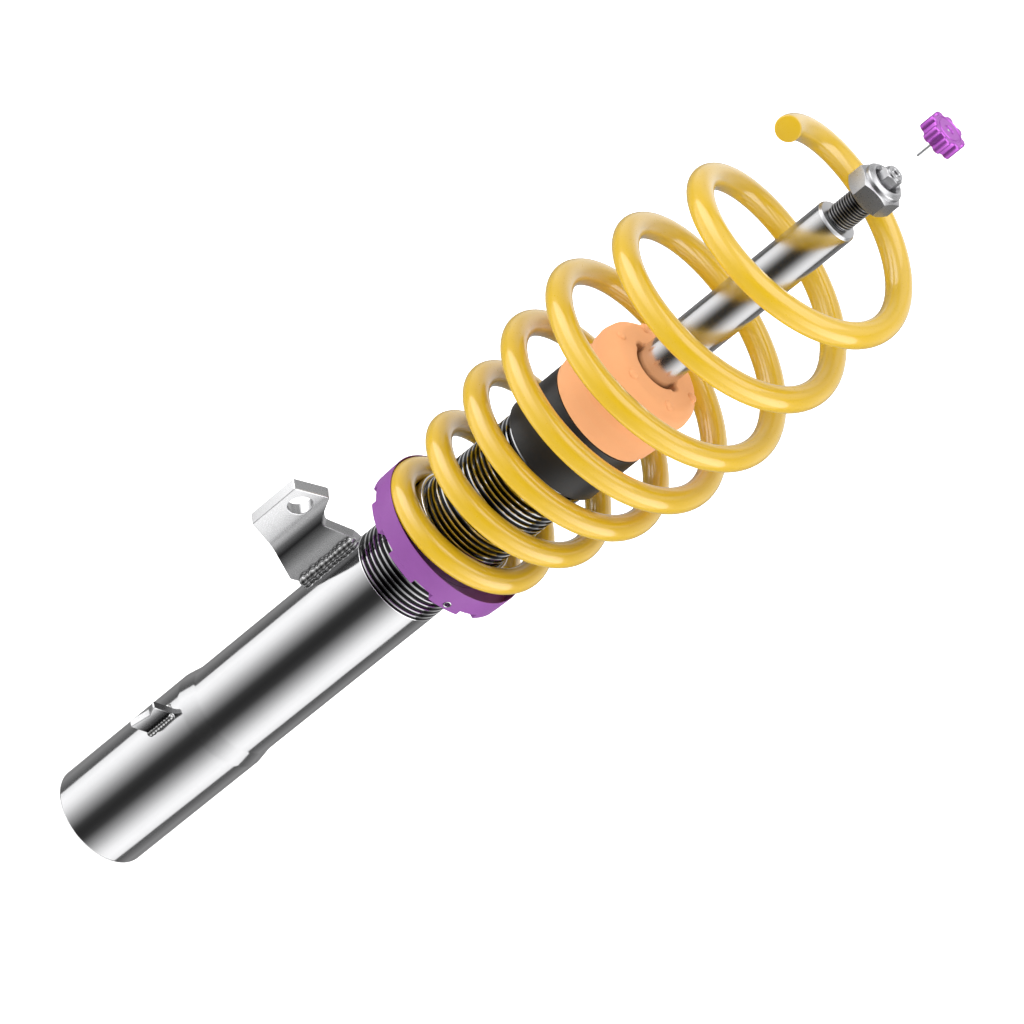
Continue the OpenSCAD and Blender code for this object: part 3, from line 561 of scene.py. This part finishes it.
def setDrops(tree, points, radius, size, segments, rings, rotation=None, smooth=False):
    # flattened balls on the points, each scaled by size
    drop = addNode(tree, "GeometryNodeMeshUVSphere")
    drop.inputs["Segments"].default_value = segments
    drop.inputs["Rings"].default_value = rings
    feed(tree, drop.inputs["Radius"], radius)
    shape = drop.outputs["Mesh"]
    if smooth:
        smoothed = addNode(tree, "GeometryNodeSetShadeSmooth")
        tree.links.new(shape, smoothed.inputs["Geometry"])
        shape = smoothed.outputs["Geometry"]
    placed = addNode(tree, "GeometryNodeInstanceOnPoints")
    tree.links.new(points, placed.inputs["Points"])
    tree.links.new(shape, placed.inputs["Instance"])
    tree.links.new(size, placed.inputs["Scale"])
    if rotation:
        tree.links.new(rotation, placed.inputs["Rotation"])
    return placed.outputs["Instances"]


beadSizes = {"From": (0.0, 0.0, 0.0), "To": (0.0, 0.0, 0.03), "Drops": 9, "Size": 2.4 * mm,
             "Flat": 0.6, "Lean": 0.5, "Around": 0.0, "Seed": 3}
beadUneven = {"least": 0.88, "most": 1.12}


def beadTree():
    # a row of overlapping drops of weld metal from one end to the other
    tree, given = newTree("weldBeads", beadSizes)
    line = addNode(tree, "GeometryNodeMeshLine", mode="END_POINTS")
    feed(tree, line.inputs["Count"], given["Drops"])
    tree.links.new(given["From"], line.inputs["Start Location"])
    tree.links.new(given["To"], line.inputs["Offset"])
    chance = addNode(tree, "FunctionNodeRandomValue", data_type="FLOAT")
    chance.inputs[2].default_value = beadUneven["least"]
    chance.inputs[3].default_value = beadUneven["most"]
    feed(tree, chance.inputs["Seed"], given["Seed"])
    width = chance.outputs[1]
    size = joinAxes(tree, width, width, calc(tree, "MULTIPLY", width, given["Flat"]))
    tilt = joinAxes(tree, 0.0, given["Lean"], given["Around"])
    drops = setDrops(tree, line.outputs["Mesh"], given["Size"], size, 20, 12, tilt, True)
    endTree(tree, drops, given)
    return tree


nubSizes = {"Circle": 22.5 * mm, "Height": 0.4, "Nubs": 6, "Size": 2.2 * mm, "Flat": 0.6, "Start": 0.0}


def nubTree():
    # round nubs on a circle
    tree, given = newTree("nubRing", nubSizes)
    ring = addNode(tree, "GeometryNodeMeshCircle", fill_type="NONE")
    feed(tree, ring.inputs["Vertices"], given["Nubs"])
    feed(tree, ring.inputs["Radius"], given["Circle"])
    moved = addNode(tree, "GeometryNodeTransform")
    tree.links.new(ring.outputs["Mesh"], moved.inputs["Geometry"])
    tree.links.new(joinAxes(tree, 0.0, 0.0, given["Height"]), moved.inputs["Translation"])
    tree.links.new(joinAxes(tree, 0.0, 0.0, given["Start"]), moved.inputs["Rotation"])
    size = joinAxes(tree, 1.0, 1.0, given["Flat"])
    endTree(tree, setDrops(tree, moved.outputs["Geometry"], given["Size"], size, 32, 16), given)
    return tree


ridges, springs, beads, nubs = threadTree(), springTree(), beadTree(), nubTree()
print("node trees made")


def growRidge(name, core, depth, pitch, start, turns, root, land, pointsPerTurn, slot):
    return grow(name, ridges, **{
        "Core": core * mm, "Depth": depth * mm, "Pitch": pitch * mm, "Start": start * mm, "Turns": turns,
        "Root": root * mm, "Land": land * mm, "Points": int(turns * pointsPerTurn),
        "Finish": materials[slot]})


def weldRow(name, weld, low, high, around, drops, seed):
    return grow(name, beads, **{
        "From": low * mm, "To": high * mm, "Drops": drops, "Size": weld["size"] * mm,
        "Flat": weld["flat"], "Lean": weld["lean"], "Around": math.radians(around), "Seed": seed,
        "Finish": materials["weld_steel"]})


tubeSizes = {"foot": 27.5, "body": 25.8, "wall": 2.5, "cone": 92, "plain": 102, "thread": 223,
             "pitch": 3.0, "depth": 1.0, "footRound": 2.0, "coneRound": 9,
             "ridgeLift": 0.5, "ridgeEnd": 1.8, "ridgeRoot": 2.4, "ridgeLand": 0.65}


def buildTube():
    s = tubeSizes
    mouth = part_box("strut_tube")[1].z / mm
    core = s["body"] - s["depth"]
    outline = soften([
        (s["foot"] - s["wall"], 0), (s["foot"], 0), (s["foot"], s["cone"]), (s["body"], s["plain"]),
        (s["body"], s["thread"] - 0.5), (core, s["thread"] + 0.1), (core, mouth),
        (s["body"] - s["wall"], mouth), (s["body"] - s["wall"], s["plain"]),
        (s["foot"] - s["wall"], s["cone"])],
        [0.3, s["footRound"], s["coneRound"], s["coneRound"], 0.4, 0.1, 0.2, 0.2, 1, 1], 6)
    body = lathe("tubeBody", plain(outline), 192)
    turns = (mouth - s["thread"] - s["ridgeEnd"]) / s["pitch"]
    ridge = growRidge("tubeRidge", core, s["depth"], s["pitch"], s["thread"] + s["ridgeLift"], turns,
                      s["ridgeRoot"], s["ridgeLand"], 80, "chrome_tube")
    setPiece("damperTube", joinMeshes("damperTube", [body, ridge]), "chrome_tube", "strut", "strut_tube")


buildTube()
print("damper tube made")


bracketSizes = {"angle": -167, "leg": -159.4, "base": 182.5, "legLen": 18.9, "bend": 22.4, "bendRadius": 22,
                "thick": 6.5, "earLen": 16.9, "hole": 6.1, "holeOut": 6.5, "holeHigh": 34.7, "edge": 0.45}
bracketWeld = {"out": 1.6, "low": 2.0, "gap": 1.0, "size": 3.1, "flat": 1.05, "lean": 0.60, "turn": 45,
               "near": {"drops": 11, "seed": 4, "high": 35.0},
               "far": {"drops": 10, "seed": 9, "high": 31.5}}


def buildBracket():
    s = bracketSizes
    middle = s["bendRadius"] + s["thick"] / 2
    arc = middle * math.radians(s["bend"])
    reach = s["legLen"] + arc + s["earLen"]
    # (along the plate, height), the root sunk a little into the tube
    outline = soften([
        (-1.5, 0), (0, 0), (6.6, -3.9), (reach, 11.7), (reach, 42.6), (27.0, 46.8), (21.3, 36.0),
        (17.2, 31.4), (3.1, 37.0), (-1.5, 37.0)],
        [0, 0, 1.5, 1.2, 1.2, 2.0, 3.5, 3.0, 1.0, 0], 4)
    centre = s["legLen"] + arc + s["holeOut"]
    hole = [(centre + s["hole"] * math.cos(a), s["holeHigh"] + s["hole"] * math.sin(a))
            for a in [math.radians(7.5 * k) for k in range(48)]]
    flat = outlinePlate("bracketFlat", outline, s["thick"], [hole], s["edge"])
    work = bmesh.new()
    work.from_mesh(flat)
    bendCuts = 12
    for k in range(bendCuts + 1):
        x = (s["legLen"] + arc * k / bendCuts) * mm
        bmesh.ops.bisect_plane(work, geom=work.verts[:] + work.edges[:] + work.faces[:],
                               plane_co=(x, 0, 0), plane_no=(1, 0, 0))
    root = turned(tubeSizes["body"], s["angle"], s["base"])
    around = Matrix.Rotation(math.radians(s["leg"]), 3, "Z")
    for vert in work.verts:
        x, depth, z = vert.co / mm
        if x <= s["legLen"]:
            p = Vector((x, -depth, z))
        else:
            turn = min((x - s["legLen"]) / middle, math.radians(s["bend"]))
            past = max(x - s["legLen"] - arc, 0)
            r = s["bendRadius"] + depth
            p = Vector((s["legLen"] + r * math.sin(turn) + past * math.cos(turn),
                        s["bendRadius"] - r * math.cos(turn) + past * math.sin(turn), z))
        vert.co = (around @ p + root) * mm
    work.to_mesh(flat)
    work.free()
    setPiece("linkBracket", flat, "bracket_steel", "strut", "link_bracket", sharp=12, weld=False)
    weld = bracketWeld
    rows = []
    for side, row in ((weld["gap"], weld["near"]), (-s["thick"] - weld["gap"], weld["far"])):
        low = around @ Vector((weld["out"], side, weld["low"])) + root
        high = around @ Vector((weld["out"], side, row["high"])) + root
        rows.append(weldRow("beadRow", weld, low, high, s["leg"] + weld["turn"], row["drops"], row["seed"]))
    setPiece("bracketWeld", joinMeshes("bracketWeld", rows), "weld_steel", "strut", "bracket_weld")


lugSizes = {"angle": -132, "low": 65, "long": 24, "out": 11.5, "thick": 4, "slope": 2.9, "edge": 0.5}
lugWeld = {"out": 0.1, "gap": 0.9, "inset": 1.4, "size": 1.75, "flat": 0.85, "lean": 0.35, "turn": 45,
           "drops": 9}


def buildLug():
    s = lugSizes
    high = s["long"] - s["slope"]
    outline = soften([(-1.0, s["slope"]), (s["out"], s["slope"]), (s["out"] * 0.8, s["long"] * 0.62),
                      (s["out"], high - 1.2), (s["out"], high), (-1.0, high)], [0, 0.6, 1.5, 0.5, 0.5, 0], 4)
    mesh = outlinePlate("lugPlate", outline, s["thick"], (), s["edge"])
    root = turned(tubeSizes["foot"], s["angle"], s["low"])
    place = (Matrix.Translation(root * mm) @ Matrix.Rotation(math.radians(s["angle"]), 4, "Z")
             @ Matrix.Translation((0, -s["thick"] / 2 * mm, 0)))
    mesh.transform(place)
    setPiece("locatingLug", mesh, "bracket_steel", "strut", "locating_lug", sharp=12, weld=False)
    weld = lugWeld
    at = Matrix.Rotation(math.radians(s["angle"]), 3, "Z")
    rows = []
    for side, seed in ((1, 5), (-1, 8)):
        across = side * (s["thick"] / 2 + weld["gap"])
        low = root + at @ Vector((weld["out"], across, s["slope"] + weld["inset"]))
        top = root + at @ Vector((weld["out"], across, high - weld["inset"]))
        around = s["angle"] + side * weld["turn"]
        rows.append(weldRow("lugRow", weld, low, top, around, weld["drops"], seed))
    setPiece("lugWeld", joinMeshes("lugWeld", rows), "weld_steel", "strut", "lug_weld")


buildBracket()
buildLug()
print("bracket and lug made")


rodSizes = {"rod": 11, "stud": 6.95, "pitch": 1.5, "depth": 0.75, "shoulder": 517.5, "studTop": 547.5,
            "key": 9.3, "keyLen": 5.3, "tip": 4.2, "tipHole": 1.1, "bore": 3.0, "pilot": 6,
            "step": 297.7, "keyFace": -72, "tipDeep": 10, "ridgeLift": 0.7, "ridgeEnd": 4.3,
            "ridgeRoot": 1.3, "ridgeLand": 0.15}


def hexRadius(angle, flats, faceAngle):
    return flats / 2 / math.cos(math.radians((angle - faceAngle + 30) % 60 - 30))


def buildRod():
    s = rodSizes
    low, high = (c.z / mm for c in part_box("piston_rod"))
    core = s["stud"] - s["depth"]
    keyTop = s["studTop"] + s["keyLen"]

    def loop(angle):
        hexed = hexRadius(angle, s["key"], s["keyFace"])
        over = (hexed - s["key"] / 2) * 0.58
        return soften([
            (s["bore"], low), (s["pilot"], low), (s["pilot"], s["step"]), (s["rod"], s["step"]),
            (s["rod"], s["shoulder"] - 1.3), (s["rod"] - 0.9, s["shoulder"]), (core, s["shoulder"]),
            (core, s["studTop"] - 3.2), (core - 0.6, s["studTop"] - 2.6), (hexed, s["studTop"] - 2.58),
            (hexed, keyTop - over - 0.25), (s["key"] / 2 - 0.1, keyTop), (s["tip"], keyTop),
            (s["tip"], high), (s["tip"] * 0.62, high), (s["tip"] * 0.58, high - 0.35),
            (s["tip"] * 0.50, high - 0.35), (s["tip"] * 0.46, high), (s["tipHole"], high),
            (s["tipHole"], high - s["tipDeep"]), (s["bore"], high - s["tipDeep"])],
            [0.2, 0.6, 0.3, 0.5, 0.5, 0.25, 0.1, 0.2, 0.1, 0.1, 0.15, 0.1, 0.05, 0.3, 0.05, 0.05,
             0.05, 0.05, 0.2, 0.1, 0.1], 3)

    body = lathe("rodBody", loop, 144)
    turns = (s["studTop"] - s["shoulder"] - s["ridgeEnd"]) / s["pitch"]
    ridge = growRidge("studRidge", core, s["depth"], s["pitch"], s["shoulder"] + s["ridgeLift"], turns,
                      s["ridgeRoot"], s["ridgeLand"], 60, "chrome_rod")
    setPiece("pistonRod", joinMeshes("pistonRod", [body, ridge]), "chrome_rod", "rod", "piston_rod")


nutSizes = {"flats": 22, "hex": 10.3, "collar": 10.2, "bore": 6.7, "face": -80}


def buildNut():
    s = nutSizes
    low, high = (c.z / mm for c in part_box("top_nut"))

    def loop(angle):
        hexed = hexRadius(angle, s["flats"], s["face"])
        over = (hexed - s["flats"] / 2) * 0.6
        top = low + s["hex"]
        flat = s["flats"] / 2
        return soften([
            (s["bore"], low + 0.8), (s["bore"] + 0.8, low), (flat - 0.6, low), (hexed, low + over + 0.3),
            (hexed, top - over - 0.3), (flat - 0.5, top), (s["collar"], top),
            (s["collar"], high - 1.6), (s["collar"] - 1.7, high), (s["bore"] + 0.9, high),
            (s["bore"], high - 1.5)],
            [0.1, 0.1, 0.3, 0.25, 0.25, 0.15, 0.15, 0.9, 0.6, 0.3, 0.1], 4)

    setPiece("topNut", lathe("topNut", loop, 144), "nut_steel", "rod", "top_nut", sharp=24)


buildRod()
buildNut()
print("piston rod and nut made")


knobSizes = {"radius": 10.45, "lobes": 8, "lobe": 2.4, "socket": 5.67, "socketDeep": 5.8}


def buildKnob():
    s = knobSizes
    low, high = (c.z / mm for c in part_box("knob"))
    step = 360 / s["lobes"]
    hub = s["radius"] - s["lobe"] * 0.65

    def lobed(angle, shrink):
        away = math.radians((angle % step) - step / 2)
        centre, r = s["radius"] - s["lobe"], s["lobe"] - shrink
        across = centre * math.sin(away)
        if abs(across) < r:
            return max(hub - shrink - 0.25, centre * math.cos(away) + math.sqrt(r * r - across * across))
        return hub - shrink - 0.25

    def loop(angle):
        outer = [lobed(angle, k) for k in (0.55, 0.15, 0.0, 0.0, 0.2, 0.75)]
        rise = [low, low + 0.3, low + 0.9, high - 1.3, high - 0.45, high - 0.05]
        crown = [(hub - 1.6, high), (hub - 2.0, high - 0.32), (hub - 2.7, high - 0.32), (hub - 3.1, high),
                 (2.6, high), (2.2, high - 0.5), (0.72, high - 0.5), (0.72, low + s["socketDeep"]),
                 (s["socket"], low + s["socketDeep"]), (s["socket"], low + 0.3), (s["socket"] + 0.3, low)]
        return list(zip(outer, rise)) + crown

    setPiece("adjusterKnob", lathe("adjusterKnob", loop, 384), "knob_anodised", "knob", "knob", sharp=30)


buildKnob()
print("knob made")


def buildSpring():
    wire = grow("springWire", springs, **{"Finish": materials["spring_paint"]})
    work = bmesh.new()
    work.from_mesh(wire)
    # the wire's two end faces have many corners: their edges are rounded
    caps = [e for f in work.faces if len(f.verts) > 8 for e in f.edges]
    bmesh.ops.bevel(work, geom=caps, offset=0.7 * mm, segments=4, profile=0.5, affect="EDGES")
    work.to_mesh(wire)
    work.free()
    spring = setPiece("coilSpring", wire, "spring_paint", "spring", "coil_spring", sharp=50, weld=False)
    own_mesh(spring)


buildSpring()
print("spring made")


perchSizes = {"rim": 41.8, "lip": 41.0, "hub": 32.5, "insertHub": 30.5, "collar": 27.85, "bore": 25.85,
              "lobeDrop": 3.0, "floor": 5.4, "lobes": 9, "slot": 15, "lobeAngle": -93, "screwHigh": 3.5,
              "flare": 2.4, "seated": 0.05, "screwIn": 3.0}


def buildPerch():
    s = perchSizes
    low, high = (c.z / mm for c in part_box("perch_collar"))
    flange, floor = low + s["lobeDrop"], low + s["floor"]
    insideBore = s["collar"] + s["seated"]
    rim = soften([
        (insideBore, flange), (s["rim"] - 0.3, flange), (s["rim"], high), (s["lip"] + 0.4, high),
        (s["lip"], high - s["flare"]), (s["lip"], floor), (insideBore, floor)],
        [0.1, 0.5, 0.2, 0.15, 0.8, 0.8, 0.3], 4)
    body = lathe("perchRim", plain(rim), 216)
    step = 360 / s["lobes"]
    clear = s["insertHub"] + s["seated"]

    def lobeLoop(angle):
        away = abs((angle - s["lobeAngle"] + step / 2) % step - step / 2)
        edge = (step - s["slot"]) / 2
        blend = min(max((away - edge + 0.35) / 0.7, 0), 1)
        outer = s["rim"] - 0.45 - (s["rim"] - 0.45 - s["hub"]) * blend
        return [(clear, low + 0.25), (clear + 0.25, low), (outer - 0.45, low), (outer - 0.12, low + 0.13),
                (outer, low + 0.45), (outer, flange + 0.3), (clear, flange + 0.3)]

    lobes = lathe("perchLobes", lobeLoop, 1080)
    angle = s["lobeAngle"] + step
    centre = turned(s["rim"] - s["screwIn"], angle, low + s["screwHigh"])
    outward = (Matrix.Translation(centre * mm) @ Matrix.Rotation(math.radians(angle), 4, "Z")
               @ Matrix.Rotation(math.radians(90), 4, "Y"))
    # (radius, height along the screw, outwards)
    hole = lathe("screwHole", plain([(onAxis, 0.85), (2.05, 0.85), (2.05, 9), (onAxis, 9)]), 48)
    hole.transform(outward)
    body, lobes = drilled(body, hole), drilled(lobes, hole)
    setPiece("perchCollar", joinMeshes("perchCollar", [body, lobes]), "perch_violet", "perch",
             "perch_collar", sharp=26)
    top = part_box("perch_insert")[1].z / mm
    under = flange - s["seated"]
    ring = soften([
        (s["bore"], low), (s["insertHub"], low), (s["insertHub"], under), (s["collar"], under),
        (s["collar"], top), (s["bore"], top)], [0.4, 0.4, 0.2, 0.2, 0.9, 0.6], 4)
    setPiece("perchInsert", lathe("perchInsert", plain(ring), 192), "insert_steel", "perch", "perch_insert")
    screw = soften([(onAxis, 0.5), (1.2, 0.5), (1.3, 2.7), (1.6, 2.9), (1.95, 2.75), (1.95, 2.2),
                    (1.5, 1.9), (1.5, 0.0), (onAxis, 0.0)], 0.1, 3)
    mesh = lathe("lockScrew", plain(screw), 48)
    mesh.transform(outward)
    setPiece("lockScrew", mesh, "screw_steel", "perch", "perch_lock_screw")


buildPerch()
print("perch made")


bumpSizes = {"bulge": 29.4, "waist": 25.2, "bore": 11.8, "spigot": 5.5, "notch": 1.9, "notchWidth": 15,
             "nubCircle": 22.5, "nubs": 6, "nub": 2.6, "nubFlat": 0.62, "nubStart": 20,
             "nubSunk": 0.45, "sway": 0.18, "dustWall": 1.7, "seated": 0.05}


def buildBump():
    s = bumpSizes
    foot, low = (c.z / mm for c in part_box("dust_tube"))
    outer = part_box("dust_tube")[1].x / mm
    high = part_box("bump_stop")[1].z / mm
    tall = high - low
    wall = s["dustWall"]
    inner = outer - wall - s["seated"]

    def loop(angle):
        near = min(abs(angle % 180), 180 - abs(angle % 180))
        cut = max(0.0, 1 - (near / s["notchWidth"]) ** 4) * s["notch"]
        sway = s["sway"] * math.sin(math.radians(3 * angle + 20))
        return soften([
            (s["bore"], low - s["spigot"]), (inner, low - s["spigot"]), (inner, low + 0.35),
            (s["bulge"] - 1.25, low + 0.35), (s["bulge"] - 0.4 + sway, low + tall * 0.10),
            (s["bulge"] + sway, low + tall * 0.24), (s["bulge"] - 1.0, low + tall * 0.38),
            (s["waist"], low + tall * 0.50), (s["bulge"] - 1.4, low + tall * 0.60),
            (s["bulge"] - 0.5 + sway, low + tall * 0.74), (s["bulge"] - 1.6 + sway, low + tall * 0.88),
            (s["bulge"] - 5.6, high - 0.2), (s["bore"] + 5.5, high - 0.1),
            (s["bore"] + 1.0 + cut, high - 0.15), (s["bore"] + cut, high - 1.2),
            (s["bore"] + cut, high - 9), (s["bore"], high - 11)],
            [0.3, 1.0, 0.3, 0.5, 3, 4, 4, 4, 4, 4, 4, 4, 3, 1.4, 1.2, 0.6, 0.6], 5)

    body = lathe("bumpBody", loop, 180)
    dots = grow("bumpNubs", nubs, **{
        "Circle": s["nubCircle"] * mm, "Height": (high - s["nubSunk"]) * mm, "Nubs": s["nubs"],
        "Size": s["nub"] * mm, "Flat": s["nubFlat"], "Start": math.radians(s["nubStart"]),
        "Finish": materials["bump_foam"]})
    setPiece("bumpStop", joinMeshes("bumpStop", [body, dots]), "bump_foam", "bump", "bump_stop", sharp=60)
    tube = soften([(outer - wall, foot), (outer, foot), (outer, low), (outer - wall, low)],
                  [0.4, 0.6, 0.5, 0.3], 4)
    setPiece("dustTube", lathe("dustTube", plain(tube), 192), "dust_black", "bump", "dust_tube")


buildBump()
print("bump stop made")


# around: brightness at each angle round the strut, from straight behind it to the camera's side
studio = {"floorTone": (0.93, 0.93, 0.93), "floorGlow": 0.7, "panel": 3.0, "above": 1.0,
          "rise": (-0.26, -0.12), "fall": (0.50, 0.62), "roof": (0.60, 0.75),
          "around": [(180, 0.38), (168, 0.33), (154, 0.24), (140, 0.28), (126, 0.20), (112, 0.12),
                     (105, 0.10), (103, 1.02), (98, 1.08), (84, 1.22), (70, 1.12), (56, 0.86),
                     (42, 0.52), (28, 0.25), (14, 0.05), (0, 0.03)]}


def buildRoom():
    half, under = 12.0, -0.0005  # the floor lies just under the foot
    floorMesh = bpy.data.meshes.new("floor")
    corners = [(x * half, y * half, under) for x, y in ((-1, -1), (1, -1), (1, 1), (-1, 1))]
    floorMesh.from_pydata(corners, [], [(0, 1, 2, 3)])
    floor = bpy.data.objects.new("floor", floorMesh)
    bpy.context.scene.collection.objects.link(floor)
    paint = bpy.data.materials.new("floorPaint")
    paint.use_nodes = True
    shader = paint.node_tree.nodes["Principled BSDF"]
    shader.inputs["Base Color"].default_value = (*studio["floorTone"], 1)
    shader.inputs["Roughness"].default_value = 0.9
    shader.inputs["Emission Color"].default_value = (1, 1, 1, 1)
    shader.inputs["Emission Strength"].default_value = studio["floorGlow"]
    floorMesh.materials.append(paint)
    floor.visible_glossy = False

    world = bpy.data.worlds.new("studio")
    bpy.context.scene.world = world
    world.use_nodes = True
    tree = world.node_tree
    back = tree.nodes["Background"]
    aim = addNode(tree, "ShaderNodeTexCoord").outputs["Generated"]
    x, y, z = splitAxes(tree, aim)
    level = levelLength(tree, x, y)
    ahead = calc(tree, "DIVIDE", calc(tree, "MULTIPLY", y, -1.0), calc(tree, "MAXIMUM", level, 0.001))
    # round the strut: a dim gap in front, wide white panels at the sides, mid grey behind
    spots = [((1 + math.cos(math.radians(degrees))) / 2, grey) for degrees, grey in studio["around"]]
    around = toneRamp(tree, calc(tree, "MULTIPLY_ADD", ahead, 0.5, 0.5), spots)
    # up and down: the bright panels stand between two heights, with soft ends
    rise = spanned(tree, z, *studio["rise"], 0.0, 1.0, True)
    fall = spanned(tree, z, *studio["fall"], 1.0, 0.0, True)
    gain = calc(tree, "MULTIPLY_ADD", calc(tree, "MULTIPLY", rise, fall), studio["panel"] - 1, 1.0)
    roof = spanned(tree, z, *studio["roof"], 0.0, 1.0, True)
    over = addNode(tree, "ShaderNodeMix", data_type="FLOAT")
    tree.links.new(roof, over.inputs[0])
    tree.links.new(calc(tree, "MULTIPLY", gain, around), over.inputs[2])
    over.inputs[3].default_value = studio["above"]
    tree.links.new(over.outputs[0], back.inputs["Strength"])
    back.inputs["Color"].default_value = (1, 1, 1, 1)


overhead = {"spot": (0.1, -0.2, 2.4), "target": (0, 0, 0.2), "size": 2.2, "power": 24}


def addLight(name, spot, target, size, power):
    lamp = bpy.data.lights.new(name, "AREA")
    lamp.shape = "RECTANGLE"
    lamp.size = lamp.size_y = size
    lamp.energy = power
    held = bpy.data.objects.new(name, lamp)
    bpy.context.scene.collection.objects.link(held)
    held.location = spot
    held.rotation_euler = (Vector(target) - Vector(spot)).to_track_quat("-Z", "Y").to_euler()


view = {"spot": (0.0079, -2.0351, 1.4584), "lens": 175.85, "sensor": 36, "shift": (-0.0003, 0.0004),
        "right": (0.627819, 0.386339, 0.675711), "up": (-0.778359, 0.312851, 0.544318)}


def buildCamera():
    seen = bpy.data.cameras.new("camera")
    seen.lens, seen.sensor_width = view["lens"], view["sensor"]
    seen.clip_start, seen.clip_end = 0.05, 60
    seen.shift_x, seen.shift_y = view["shift"]
    held = bpy.data.objects.new("camera", seen)
    bpy.context.scene.collection.objects.link(held)
    right = Vector(view["right"]).normalized()
    up = Vector(view["up"])
    up = (up - right * up.dot(right)).normalized()
    turn = Matrix((right, up, right.cross(up))).transposed().to_4x4()
    held.matrix_world = Matrix.Translation(view["spot"]) @ turn
    bpy.context.scene.camera = held


buildRoom()
addLight("overhead", **overhead)
buildCamera()
bpy.context.scene.view_settings.view_transform = "Standard"
print("room, light and camera set")
